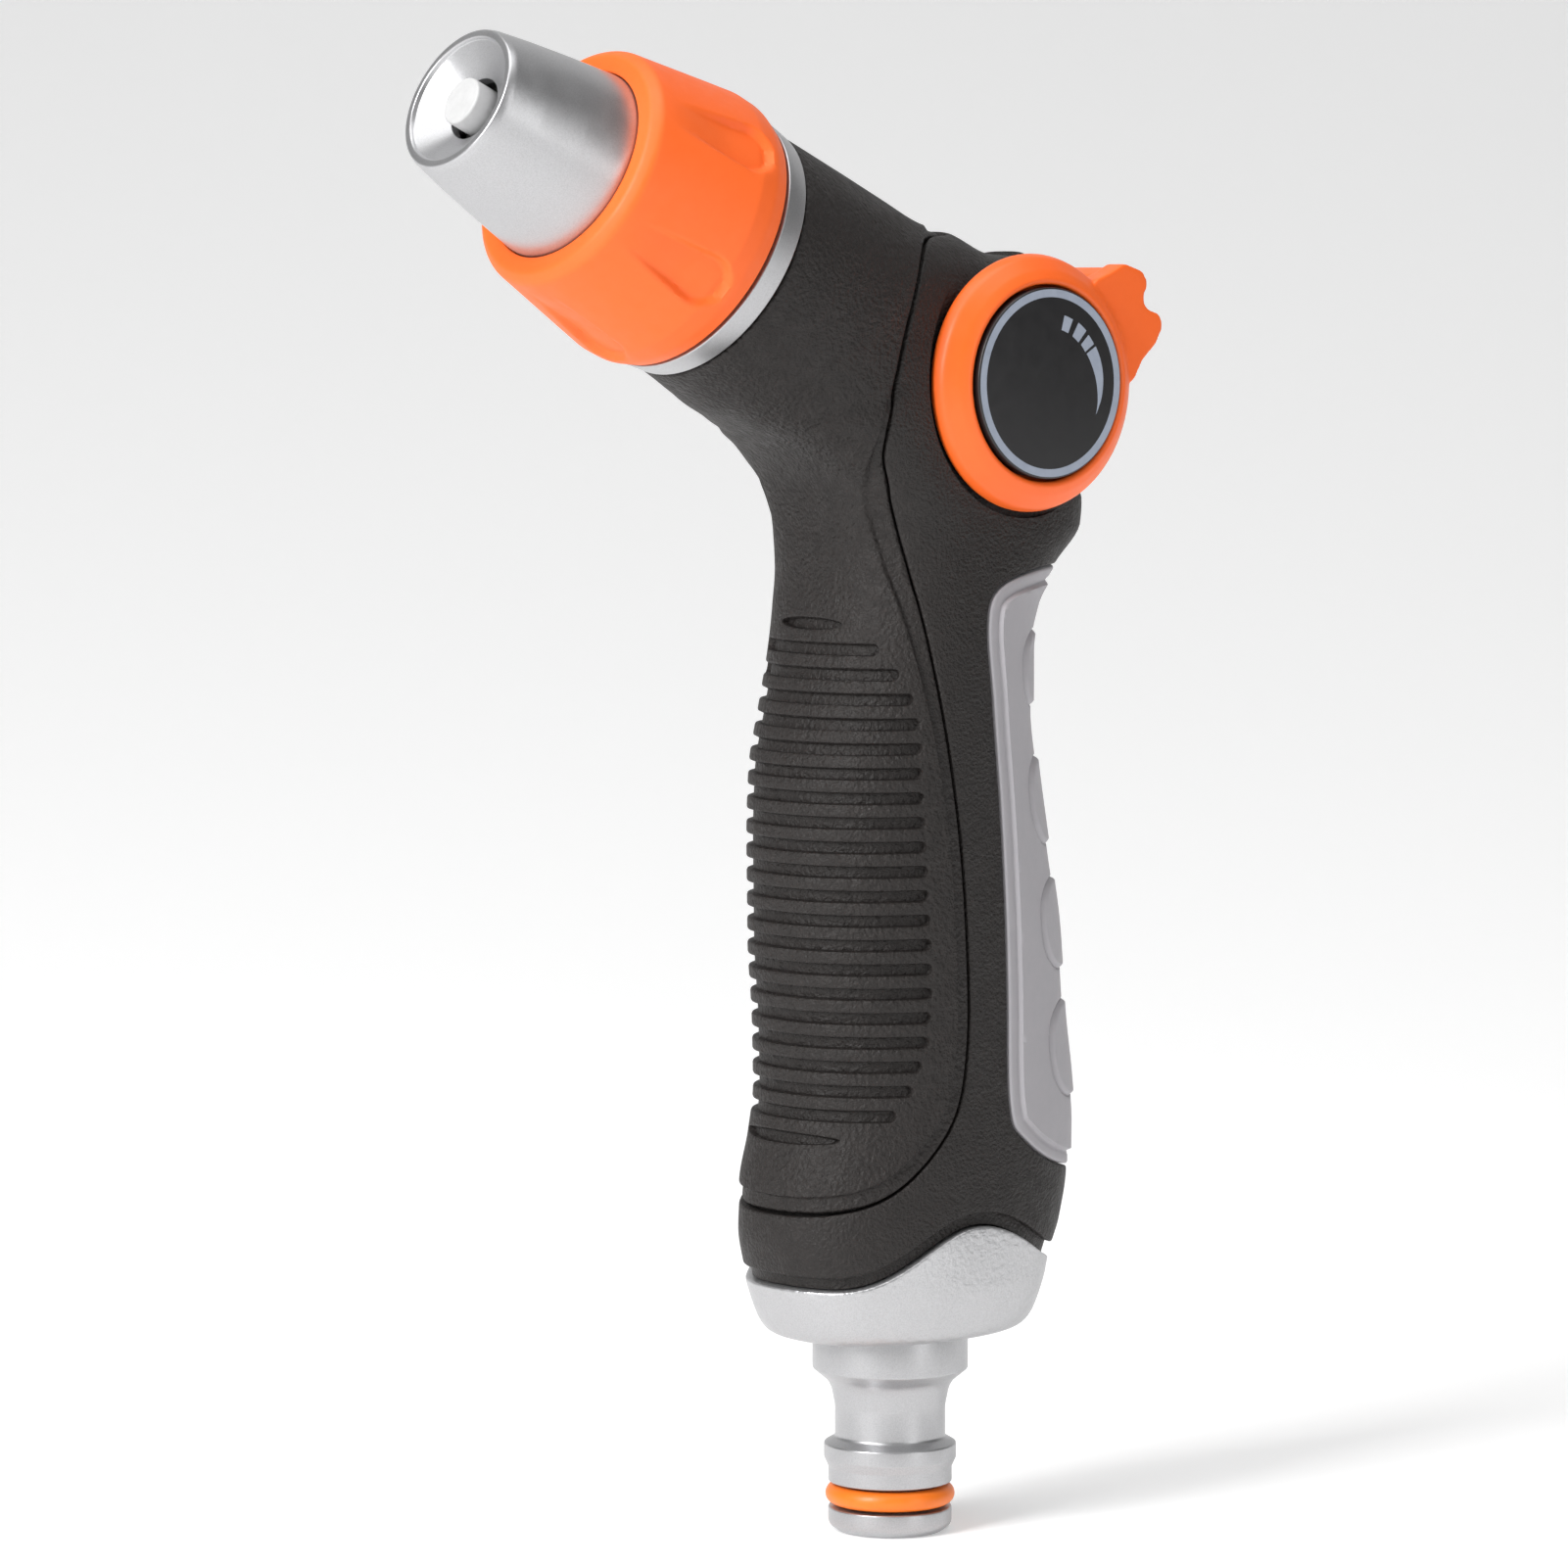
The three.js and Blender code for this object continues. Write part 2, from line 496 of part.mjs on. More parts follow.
const COLLAR_PROFILE = [
  [9.4, -5.5], [11.3, -5.5], [11.3, 6.75], [16.85, 6.75], [17.4, 9.5], [17.2, 10.1], [15.2, 10.1],
  [15.2, 16.5], [12.9, 16.5], [12.9, 9], [9.4, 9],
];
const BARREL_PROFILE = [
  [BARREL_BORE_R, VALVE_STATION + 12], [BARREL_R, VALVE_STATION + 12], [BARREL_R, 32.9], [8, 32.9],
  [8, 34.5], [BARREL_R, 34.5],
  [BARREL_R, 35.6], [8.6, 36], [4.6, 36], [4.6, 31.35], [BARREL_BORE_R, 31.35],
];
const CONE_PROFILE = [
  [9.35, 18], [12.1, 18], [12.1, 31.5], [11.4, 37.5], [10.4, 43.8], [9.5, 48.3], [9.1, 49.4],
  [8.3, 49.5], [8.1, 49.2], [4, 46.6], [4, 45.4], [10.9, 39], [10.9, 28.5], [9.35, 28.5],
  [9.35, 26.75], [11.4, 26.75], [11.4, 23.95], [9.35, 23.95],
];
const DIAL_PROFILE = [
  [15.6, 10.5], [17.35, 10.5], [17.9, 11.3], [18.2, 13.5], [18, 16], [17.4, 20], [16.8, 24], [16.2, 28],
  [15.7, 30.2], [15, 31.2], [13.6, 31.6], [12.6, 31.3], [12.45, 31], [12.45, 17.6], [15.6, 17.6],
];
const PIN_PROFILE = [
  [0, 28], [4.85, 28], [4.85, 31], [1.8, 31], [1.8, 38.8], [3.06, 40.5], [3.06, 48.6], [2.8, 48.9],
  [0, 48.9],
];

// The centre pin stands on a spider with three water passages.
function centrePin() {
  let pin = solid(turned(PIN_PROFILE, 24));
  for (const turn of [0, 1, 2]) {
    const angle = (2 * Math.PI * turn) / 3;
    const hole = rod(1.1, 27, 32, 12).translate(3.25 * Math.cos(angle), 0, 3.25 * Math.sin(angle));
    pin = pin.subtract(solid(hole));
  }
  return pin;
}

// ---------------------------------------------------------------- the assembly

const FINISH = {
  blackSoft: { color: 0x3a3432, roughness: 0.8, metalness: 0 },
  blackHard: { color: 0x33302f, roughness: 0.6, metalness: 0 },
  grey: { color: 0xa5a2a5, roughness: 0.7, metalness: 0 },
  silver: { color: 0xc3c3c5, roughness: 0.35, metalness: 0.6 },
  orange: { color: 0xff7030, roughness: 0.5, metalness: 0 },
  white: { color: 0xdedcd4, roughness: 0.5, metalness: 0 },
  steel: { color: 0x9a9da0, roughness: 0.3, metalness: 1 },
  rubber: { color: 0x202020, roughness: 0.9, metalness: 0 },
};

const nozzle = new THREE.Group();

function frameGroup(frame) {
  const group = new THREE.Group();
  frame.decompose(group.position, group.quaternion, group.scale);
  nozzle.add(group);
  return group;
}

function put(group, name, finish, manifold) {
  const mesh = new THREE.Mesh(geometryOf(manifold), new THREE.MeshStandardMaterial(FINISH[finish]));
  mesh.name = name;
  group.add(mesh);
}

const upright = frameGroup(new THREE.Matrix4());
put(upright, 'rear_body', 'blackHard', rearBody());
put(upright, 'front_grip', 'blackSoft', frontGrip());
put(upright, 'grip_insert', 'grey', gripInsert());
put(upright, 'end_bell', 'silver', endBell());
put(upright, 'inlet_tube', 'white', inletTube());
put(upright, 'valve_housing', 'white', valveHousing());
put(upright, 'inlet_seat', 'rubber', valveSeat(inletFrame, 0));
put(upright, 'outlet_seat', 'rubber', valveSeat(sprayFrame, VALVE_STATION));

const plug = frameGroup(plugFrame);
put(plug, 'hose_plug', 'silver', solid(turned(PLUG_PROFILE, FINE)));
put(plug, 'plug_o_ring', 'orange', solid(oRing(7, 2.6, 4.725)));
put(plug, 'inlet_washer', 'rubber', solid(turned([[4.8, 37.85], [7.9, 37.85], [7.9, 39.45], [4.8, 39.45]])));

const inlet = frameGroup(inletFrame);
put(inlet, 'tube_seal', 'rubber', solid(oRing(7.85, 1, 18)));

const valve = frameGroup(pivotFrame);
put(valve, 'thumb_lever', 'orange', thumbLever());
put(valve, 'valve_rotor', 'white', valveRotor());
put(valve, 'housing_cover', 'white', solid(turned([
  [JOURNAL_BORE_R, 10.75], [GLAND_R, 10.75], [GLAND_R, 8.65], [COVER_R, 8.65], [COVER_R, HOUSING_Y],
  [JOURNAL_BORE_R, HOUSING_Y],
])));
for (const [side, name] of [[-1, 'left'], [1, 'right']]) {
  const half = new THREE.Group();
  half.rotation.x = side < 0 ? Math.PI : 0;
  valve.add(half);
  put(half, `cap_${name}`, 'blackHard', solid(turned(CAP_PROFILE, FINE)));
  put(half, `spindle_${name}`, 'steel', spindle());
  put(half, `spindle_screw_${name}`, 'steel', solid(turned(SCREW_PROFILE, 16)));
  put(half, `spindle_seal_${name}`, 'rubber', solid(oRing(6.15, 1.4, 9.7)));
}

const spray = frameGroup(sprayFrame);
put(spray, 'collar_ring', 'silver', solid(turned(COLLAR_PROFILE, FINE)));
put(spray, 'barrel_seal', 'rubber', solid(oRing(9.85, 0.9, -14)));
put(spray, 'outlet_barrel', 'white', solid(turned(BARREL_PROFILE, 24)));
const CLIP_PROFILE = [[8.35, 33.2], [10.5, 33.2], [10.5, 34.2], [8.35, 34.2]];
put(spray, 'stop_clip', 'steel', solid(turned(CLIP_PROFILE, 24)));
put(spray, 'centre_pin', 'white', centrePin());
put(spray, 'cone_seal', 'rubber', solid(oRing(10.2, 1.6, 25.35)));
put(spray, 'nozzle_cone', 'silver', solid(turned(CONE_PROFILE, FINE)));
put(spray, 'spray_dial', 'orange', solid(turned(DIAL_PROFILE, FINE)));

export default nozzle;
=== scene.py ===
"""Hose spray nozzle: fine shapes, materials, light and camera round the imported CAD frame.

Lengths in the tables are millimetres in the row frame: +Z up along the hose plug and the grip,
-X towards the spray, +Y to the right-hand side. Meshes are made in metres.
"""

import math

import bmesh
import bpy
import numpy as np
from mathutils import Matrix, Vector


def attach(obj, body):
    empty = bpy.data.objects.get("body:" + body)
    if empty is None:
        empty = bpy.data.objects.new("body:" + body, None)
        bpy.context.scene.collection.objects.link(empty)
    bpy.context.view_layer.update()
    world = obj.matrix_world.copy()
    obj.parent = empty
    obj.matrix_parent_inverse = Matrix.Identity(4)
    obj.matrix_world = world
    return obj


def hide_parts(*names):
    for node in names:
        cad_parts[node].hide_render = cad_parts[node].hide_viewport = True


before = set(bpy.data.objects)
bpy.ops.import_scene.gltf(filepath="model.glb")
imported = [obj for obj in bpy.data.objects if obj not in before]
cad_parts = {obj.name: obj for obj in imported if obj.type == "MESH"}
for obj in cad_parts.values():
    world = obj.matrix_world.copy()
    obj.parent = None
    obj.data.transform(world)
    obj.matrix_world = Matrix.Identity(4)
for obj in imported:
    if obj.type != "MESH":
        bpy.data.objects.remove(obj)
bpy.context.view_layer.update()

MM = 0.001
TAU = 2 * math.pi

# ---------------------------------------------------------------- driving dimensions

SPRAY_TILT = math.radians(25)     # spray axis above the horizontal
SPRAY_FOOT = (-23.9, 161.0)       # x, z of station 0 on the spray axis
SLEEVE_R = 16.8
SLEEVE_END = 6.4                  # station of the sleeve's front edge
PIVOT = (10.1, 147.3)             # x, z of the thumb lever's axis
DRUM_R = 17.2
CHEEK_Y = 13.6                    # flat seats beside the lever
SEAT_R = 17.1
SKIRT_DEPTH = 0.9                 # the black band above the bell lies this deep
SKIRT_TUCK = 1.6                  # and this much deeper inside the bell
TUCK_WIDTH = 0.25
SKIRT_Z = 31.5                    # foot of the skirt
GRIP_GAP = 0.45
INSERT_GAP = 0.25
SUNK = 2.0                        # hard body's depth under the soft grip
BODY_WALL = 3.4
SOFT_WALL = 1.5
BODY_SLIMMER = 0.6                # what the body and the insert lose in half width
BELL_SLIMMER = 0.4
BODY_LIFT = 1.8                   # open band between the bell and the body
WAVE_PEAK = (1.5, 40.8)           # x, z of the top of the bell's wavy edge
WAVE_HALF = 19                    # from the peak to the edge's lowest places
WAVE_FRONT_Z = 33.3
WAVE_BACK_Z = 34.6

SPRAY_AXIS = np.array([-math.cos(SPRAY_TILT), 0, math.sin(SPRAY_TILT)])
SPRAY_UP = np.array([math.sin(SPRAY_TILT), 0, math.cos(SPRAY_TILT)])
FOOT = np.array([SPRAY_FOOT[0], 0, SPRAY_FOOT[1]])


def sleeve(station, height):
    point = FOOT + SPRAY_AXIS * station + SPRAY_UP * height
    return point[0], point[2]


def on_drum(degrees):
    angle = math.radians(degrees)
    return PIVOT[0] + DRUM_R * math.cos(angle), PIVOT[1] + DRUM_R * math.sin(angle)


# Cross-sections of the body from the hose end to the spray head: front point, back point,
# half width near the front, half width near the back, squareness (2 is an ellipse).
SECTIONS = [
    ((-18.6, 28), (20.6, 28), 15.6, 15.6, 2.3),
    ((-19.6, 34), (21.6, 34), 16.0, 16.0, 2.3),
    ((-20.8, 40), (24.0, 40), 16.4, 16.4, 2.3),
    ((-20.4, 46), (25.2, 46), 16.4, 16.4, 2.3),
    ((-18.9, 52), (25.2, 52), 16.3, 16.3, 2.3),
    ((-18.0, 58), (24.6, 58), 16.2, 16.2, 2.3),
    ((-18.1, 66), (23.4, 66), 16.2, 16.2, 2.3),
    ((-18.8, 77), (22.4, 77), 16.2, 16.2, 2.3),
    ((-18.8, 88), (20.4, 88), 16.2, 16.0, 2.3),
    ((-18.3, 98), (18.5, 98), 16.2, 15.8, 2.3),
    ((-16.4, 106), (17.3, 106), 16.2, 15.6, 2.3),
    ((-14.7, 113), (17.3, 113), 16.2, 15.3, 2.3),
    ((-13.6, 119), (18.6, 119), 16.2, 15.0, 2.4),
    ((-13.0, 124), (22.2, 124.2), 16.2, 14.8, 2.6),
    ((-13.1, 128.5), (26.2, 129.3), 16.2, 14.5, 3.0),
    ((-13.6, 132.4), (25.9, 132.6), 16.3, 14.3, 3.4),
    ((-14.0, 134.1), on_drum(-40), 16.4, 14.2, 3.6),
    ((-14.8, 135.7), on_drum(-18), 16.5, 14.2, 3.8),
    ((-16.3, 137.3), on_drum(8), 16.6, 14.2, 3.8),
    ((-18.4, 139.0), on_drum(32), 16.7, 14.2, 3.6),
    ((-20.3, 140.1), on_drum(50), 16.7, 14.2, 3.4),
    ((-22.1, 140.9), (22.3, 162.7), 16.8, 14.2, 2.9),
    ((-24.6, 141.9), (12.6, 163.9), 16.8, 14.2, 2.5),
    ((-27.1, 142.9), (6.6, 166.5), 16.8, 14.8, 2.2),
    ((-29.7, 144.1), sleeve(-20, SLEEVE_R), 16.8, 15.8, 2.1),
    ((-32.1, 145.5), sleeve(-12, SLEEVE_R), 16.8, 16.4, 2.0),
    (sleeve(3.7, -17.1), sleeve(-3, SLEEVE_R), 16.8, 16.8, 2.0),
    (sleeve(SLEEVE_END, -SLEEVE_R), sleeve(SLEEVE_END, SLEEVE_R), 16.8, 16.8, 2.0),
]

# Side-view line where the soft front grip ends, and the outline of the grey back insert.
GRIP_LINE = [
    (9, 169.5), (6, 166.8), (-2.6, 165.7), (-8.2, 160.2), (-11.9, 150.1), (-13.2, 140), (-11.7, 134.4),
    (-8.6, 124.9), (-5.8, 112.3), (-2.2, 92), (-0.8, 76), (-0.7, 63.6), (-2.9, 54.4), (-10.4, 46.6),
    (-18.2, 43.6), (-28, 43.2),
]
INSERT_LINE = [
    (32, 123.6), (20, 123.8), (12.3, 123.4), (5.4, 121.4), (3.4, 117), (4.3, 106.7), (5.6, 92), (6.4, 72),
    (6.8, 56), (9.4, 51.4), (17.3, 47.4), (32, 45),
]

# ---------------------------------------------------------------- curves and profiles


def smooth_line(points, steps):
    """A Catmull-Rom curve through the points."""
    p = np.array(points, float)
    p = np.vstack([2 * p[0] - p[1], p, 2 * p[-1] - p[-2]])
    made = []
    for i in range(1, len(p) - 2):
        for k in range(steps):
            t = k / steps
            a, b, c, d = p[i - 1 : i + 3]
            made.append(0.5 * (2 * b + (c - a) * t + (2 * a - 5 * b + 4 * c - d) * t * t
                               + (3 * b - a - 3 * c + d) * t ** 3))
    made.append(p[-2])
    return np.array(made)


def monotone(x, y, at):
    """Smooth values at new places between rows of numbers, without overshoot."""
    x, y = np.asarray(x, float), np.asarray(y, float)
    h = np.diff(x)[:, None]
    slope = np.diff(y, axis=0) / h
    tangent = np.zeros_like(y)
    before, after = slope[:-1], slope[1:]
    same = before * after > 0
    w1, w2 = 2 * h[1:] + h[:-1], h[1:] + 2 * h[:-1]
    shares = w1 / np.where(same, before, 1) + w2 / np.where(same, after, 1)
    tangent[1:-1][same] = ((w1 + w2) / shares)[same]
    tangent[0], tangent[-1] = slope[0], slope[-1]
    k = np.clip(np.searchsorted(x, at, side="right") - 1, 0, len(x) - 2)
    t = ((at - x[k]) / (x[k + 1] - x[k]))[:, None]
    hk = (x[k + 1] - x[k])[:, None]
    return ((1 + 2 * t) * (1 - t) ** 2 * y[k] + t * (1 - t) ** 2 * hk * tangent[k]
            + t * t * (3 - 2 * t) * y[k + 1] + t * t * (t - 1) * hk * tangent[k + 1])


def smoothstep(low, high, value):
    t = np.clip((value - low) / (high - low), 0, 1)
    return t * t * (3 - 2 * t)


def side_distance(line, x, z):
    """Distance in the side view to a line, positive on its left-hand side as it runs."""
    a, b = line[:-1], line[1:]
    run = b - a
    length2 = (run ** 2).sum(1)
    best = np.full(len(x), 1e9)
    sign = np.ones(len(x))
    for (ax, az), (rx, rz), l2 in zip(a, run, length2):
        t = np.clip(((x - ax) * rx + (z - az) * rz) / l2, 0, 1)
        dx, dz = x - ax - t * rx, z - az - t * rz
        dist = np.hypot(dx, dz)
        nearer = dist < best - 1e-9
        best = np.where(nearer, dist, best)
        sign = np.where(nearer, np.where(rx * dz - rz * dx >= 0, 1.0, -1.0), sign)
    return best * sign


def filleted(corners, steps=5):
    """A closed profile whose corners (a, b, radius) are rounded."""
    made = []
    count = len(corners)
    for i in range(count):
        p0, p1, p2 = (np.array(corners[(i + k) % count][:2], float) for k in (-1, 0, 1))
        radius = corners[i][2] if len(corners[i]) > 2 else 0
        u, v = p0 - p1, p2 - p1
        lu, lv = np.linalg.norm(u), np.linalg.norm(v)
        u, v = u / lu, v / lv
        angle = math.acos(max(-1, min(1, float(u @ v))))
        if radius <= 0 or angle > math.pi - 0.02:
            made.append(p1)
            continue
        reach = min(radius / math.tan(angle / 2), 0.48 * lu, 0.48 * lv)
        bend = reach * math.tan(angle / 2)
        centre = p1 + (u + v) / np.linalg.norm(u + v) * math.hypot(reach, bend)
        start, end = p1 + u * reach - centre, p1 + v * reach - centre
        a0 = math.atan2(start[1], start[0])
        turn = (math.atan2(end[1], end[0]) - a0 + math.pi) % TAU - math.pi
        for k in range(steps + 1):
            a = a0 + turn * k / steps
            made.append(centre + bend * np.array([math.cos(a), math.sin(a)]))
    return made


# ---------------------------------------------------------------- meshes


class Skin:
    """A mesh with a normal and named fields at each vertex, all of which can be cut along levels."""

    def __init__(self, points, normals, faces):
        self.points = [np.array(p) for p in points]
        self.normals = [np.array(n) for n in normals]
        self.faces = [list(f) for f in faces]
        self.fields = {}

    def xyz(self):
        return np.array(self.points).T

    def cut(self, name, levels):
        """Puts edges along the lines where a field has each level."""
        for level in levels:
            values = self.fields[name]
            seen = {}
            faces = []
            for face in self.faces:
                gaps = [values[i] - level for i in face]
                side = [0 if abs(gap) < 1e-7 else (1 if gap > 0 else -1) for gap in gaps]
                if max(side) <= 0 or min(side) >= 0:
                    faces.append(face)
                    continue
                above, below = [], []
                for k, i in enumerate(face):
                    j = face[(k + 1) % len(face)]
                    si, sj = side[k], side[(k + 1) % len(face)]
                    if si >= 0:
                        above.append(i)
                    if si <= 0:
                        below.append(i)
                    if si * sj < 0:
                        key = (min(i, j), max(i, j))
                        if key not in seen:
                            seen[key] = self._between(key, name, level)
                        above.append(seen[key])
                        below.append(seen[key])
                faces += [f for f in (above, below) if len(f) > 2]
            self.faces = faces
        return self

    def _between(self, key, name, level):
        i, j = key
        values = self.fields[name]
        t = (level - values[i]) / (values[j] - values[i])
        self.points.append(self.points[i] * (1 - t) + self.points[j] * t)
        self.normals.append(self.normals[i] * (1 - t) + self.normals[j] * t)
        for field, column in self.fields.items():
            column.append(level if field == name else column[i] * (1 - t) + column[j] * t)
        return len(self.points) - 1

    def keep(self, name, level):
        """Keeps the faces where a field is above a level, after a cut there."""
        values = self.fields[name]
        self.faces = [f for f in self.faces if sum(values[i] for i in f) / len(f) > level]
        used = sorted({i for f in self.faces for i in f})
        new = {old: k for k, old in enumerate(used)}
        self.points = [self.points[i] for i in used]
        self.normals = [self.normals[i] for i in used]
        self.fields = {k: [v[i] for i in used] for k, v in self.fields.items()}
        self.faces = [[new[i] for i in f] for f in self.faces]
        return self

    def field(self, name, values):
        self.fields[name] = [float(v) for v in values]
        return self

    def get(self, name):
        return np.array(self.fields[name])

    def raised(self, heights, depth):
        """Vertices and faces of a closed shell: the skin raised by heights, and its inside at a depth."""
        normal = np.array(self.normals)
        normal /= np.linalg.norm(normal, axis=1)[:, None]
        base = np.array(self.points)
        outer = base + normal * heights[:, None]
        inner = base - normal * np.maximum(depth, depth - 0.2 - heights)[:, None]
        count = len(base)
        edges = {}
        for f in self.faces:
            for k, i in enumerate(f):
                j = f[(k + 1) % len(f)]
                edges[(i, j)] = edges.get((i, j), 0) + 1
        faces = [list(f) for f in self.faces]
        faces += [[i + count for i in reversed(f)] for f in self.faces]
        faces += [[j, i, i + count, j + count] for (i, j) in edges if (j, i) not in edges]
        return np.vstack([outer, inner]), faces


def new_object(name, points, faces, material, sharp=40):
    """A mesh object from millimetre points, smooth except at edges sharper than an angle."""
    mesh = bpy.data.meshes.new(name)
    mesh.from_pydata([tuple(float(c) * MM for c in p) for p in points], [], faces)
    work = bmesh.new()
    work.from_mesh(mesh)
    bmesh.ops.remove_doubles(work, verts=work.verts, dist=2e-6)
    bmesh.ops.dissolve_degenerate(work, edges=work.edges, dist=1e-6)
    bmesh.ops.recalc_face_normals(work, faces=work.faces)
    work.to_mesh(mesh)
    work.free()
    for polygon in mesh.polygons:
        polygon.use_smooth = True
    mesh.set_sharp_from_angle(angle=math.radians(sharp))
    made = bpy.data.objects.new(name, mesh)
    bpy.context.collection.objects.link(made)
    made.data.materials.append(material)
    return made


def lathe(name, profile, origin, axis, material, segments=144, relief=None, sharp=40):
    """A closed profile of (radius, station) turned about an axis.

    relief(angle, radius, station) is the depth that a point sinks towards the axis.
    """
    axis = np.array(axis, float)
    up = np.array([0, 1, 0]) if abs(axis[1]) < 0.5 else np.array([1, 0, 0])
    side = np.cross(axis, up)
    origin = np.array(origin, float)
    rows = len(profile)
    points, faces = [], []
    for k in range(segments):
        a = TAU * k / segments
        out = math.cos(a) * up + math.sin(a) * side
        for r, t in profile:
            depth = relief(a, r, t) if relief else 0
            points.append(origin + axis * t + out * max(r - depth, 0))
    for k in range(segments):
        n = (k + 1) % segments
        for i in range(rows):
            j = (i + 1) % rows
            faces.append([k * rows + i, n * rows + i, n * rows + j, k * rows + j])
    return new_object(name, points, faces, material, sharp)


def torus(name, radius, section, station, origin, axis, material):
    """A ring of round section, from its mean radius and the section's diameter."""
    steps = 28
    turns = [TAU * k / steps for k in range(steps)]
    circle = [(radius + section / 2 * math.cos(a), station + section / 2 * math.sin(a)) for a in turns]
    return lathe(name, circle, origin, axis, material, sharp=80)


def prism(name, outline, low, high, material):
    """A side-view outline of (x, z) between two places along Y."""
    count = len(outline)
    points = [(x, low, z) for x, z in outline] + [(x, high, z) for x, z in outline]
    faces = [list(range(count)), [2 * count - 1 - i for i in range(count)]]
    faces += [[i, i + count, (i + 1) % count + count, (i + 1) % count] for i in range(count)]
    return new_object(name, points, faces, material)


def apply_modifier(obj, kind, **values):
    modifier = obj.modifiers.new(kind.title(), kind)
    for key, value in values.items():
        setattr(modifier, key, value)
    bpy.context.view_layer.objects.active = obj
    with bpy.context.temp_override(object=obj, active_object=obj, selected_objects=[obj]):
        bpy.ops.object.modifier_apply(modifier=modifier.name)


def unite(obj, other):
    apply_modifier(obj, "BOOLEAN", operation="UNION", object=other, solver="EXACT")
    bpy.data.objects.remove(other)


# ---------------------------------------------------------------- body surface

COLUMNS = 168


def section_row(values, slimmer):
    fx, fz, bx, bz, wf, wb, n = values
    angle = TAU * np.arange(COLUMNS) / COLUMNS
    across = np.sign(np.cos(angle)) * np.abs(np.cos(angle)) ** (2 / n)
    aside = np.sign(np.sin(angle)) * np.abs(np.sin(angle)) ** (2 / n)
    middle = np.array([(fx + bx) / 2, (fz + bz) / 2])
    half = np.array([(bx - fx) / 2, (bz - fz) / 2])
    width = wf + (wb - wf) * smoothstep(-1, 1, across) - slimmer
    return np.stack([middle[0] + half[0] * across, width * aside, middle[1] + half[1] * across], 1)


def loft(table, spacing, slimmer=0.0):
    """A Skin through a table of sections, with rows about a spacing apart."""
    numbers = np.array([[*s[0], *s[1], s[2], s[3], s[4]] for s in table], float)
    step = np.hypot(np.diff(numbers[:, 0]), np.diff(numbers[:, 1]))
    step = (step + np.hypot(np.diff(numbers[:, 2]), np.diff(numbers[:, 3]))) / 2
    place = np.concatenate([[0], np.cumsum(step)])
    rows = int(place[-1] / spacing) + 1
    dense = monotone(place, numbers, np.linspace(0, place[-1], rows))
    grid = np.array([section_row(v, slimmer) for v in dense])
    return grid_skin(grid)


def grid_skin(grid):
    rows, columns = grid.shape[:2]
    along = np.gradient(grid, axis=0)
    around = np.roll(grid, -1, 1) - np.roll(grid, 1, 1)
    normal = np.cross(along, around)
    normal /= np.maximum(np.linalg.norm(normal, axis=2), 1e-9)[:, :, None]
    middle = grid.mean(1, keepdims=True)
    if ((grid - middle) * normal).sum() < 0:
        normal = -normal
    faces = []
    for i in range(rows - 1):
        for j in range(columns):
            k = (j + 1) % columns
            this, following = i * columns, (i + 1) * columns
            faces.append([this + j, this + k, following + k, following + j])
    made = Skin(grid.reshape(-1, 3), normal.reshape(-1, 3), faces)
    # Distance round the section from the front, and from the back, for slots and pads.
    stride = np.linalg.norm(np.roll(grid, -1, 1) - grid, axis=2)
    arc = np.concatenate([np.zeros((rows, 1)), np.cumsum(stride, 1)[:, :-1]], 1)
    total = stride.sum(1, keepdims=True)
    from_back = np.minimum(arc, total - arc)
    made.field("back", from_back.reshape(-1))
    made.field("front", (total / 2 - from_back).reshape(-1))
    return made


grip_line = smooth_line(GRIP_LINE, 8)
insert_line = smooth_line(INSERT_LINE, 8)


def add_side_fields(skin):
    x, _, z = skin.xyz()
    skin.field("grip", -side_distance(grip_line, x, z))
    skin.field("insert", side_distance(insert_line, x, z))
    peak_x, peak_z = WAVE_PEAK
    phase = np.minimum(np.abs(x - peak_x) / WAVE_HALF, 1)
    low = np.where(x < peak_x, WAVE_FRONT_Z, WAVE_BACK_Z)
    wave = low + (peak_z - low) * (1 + np.cos(np.pi * phase)) / 2
    slope = (peak_z - low) * np.pi / (2 * WAVE_HALF) * np.sin(np.pi * phase)
    skin.field("wave", (z - wave) / np.sqrt(1 + slope ** 2))
    station = (x - SPRAY_FOOT[0]) * SPRAY_AXIS[0] + (z - SPRAY_FOOT[1]) * SPRAY_AXIS[2]
    skin.field("rim", SLEEVE_END - station)
    skin.field("seat", SEAT_R - np.hypot(x - PIVOT[0], z - PIVOT[1]))
    skin.field("height", z)
    return skin


def rounded_edge(distance, radius, depth):
    """Height beside an edge: 0 inside, round over a radius, then straight down to a depth."""
    t = np.clip(1 - distance / radius, 0, 1)
    drop = radius * (1 - np.sqrt(np.maximum(1 - t * t, 0)))
    return np.where(distance <= 0, -depth, -np.minimum(drop, depth))


EDGE_R = 0.35
EDGE = (0, 0.02, 0.07, 0.18, EDGE_R)   # where a rounded edge is cut

# ---------------------------------------------------------------- materials

CLOUD_SCALE = 600                 # noise features per metre: colour, gloss of plastics, gloss of paint
GLOSS_SCALE = 480
WEAR_SCALE = 300
FLAKE_MM = 0.16


def shader(name, color, roughness, metallic=0.0, **inputs):
    material = bpy.data.materials.new(name)
    material.use_nodes = True
    surface = material.node_tree.nodes["Principled BSDF"]
    surface.inputs["Base Color"].default_value = (*color, 1)
    surface.inputs["Roughness"].default_value = roughness
    surface.inputs["Metallic"].default_value = metallic
    for key, value in inputs.items():
        surface.inputs[key.replace("_", " ")].default_value = value
    return material, material.node_tree, surface


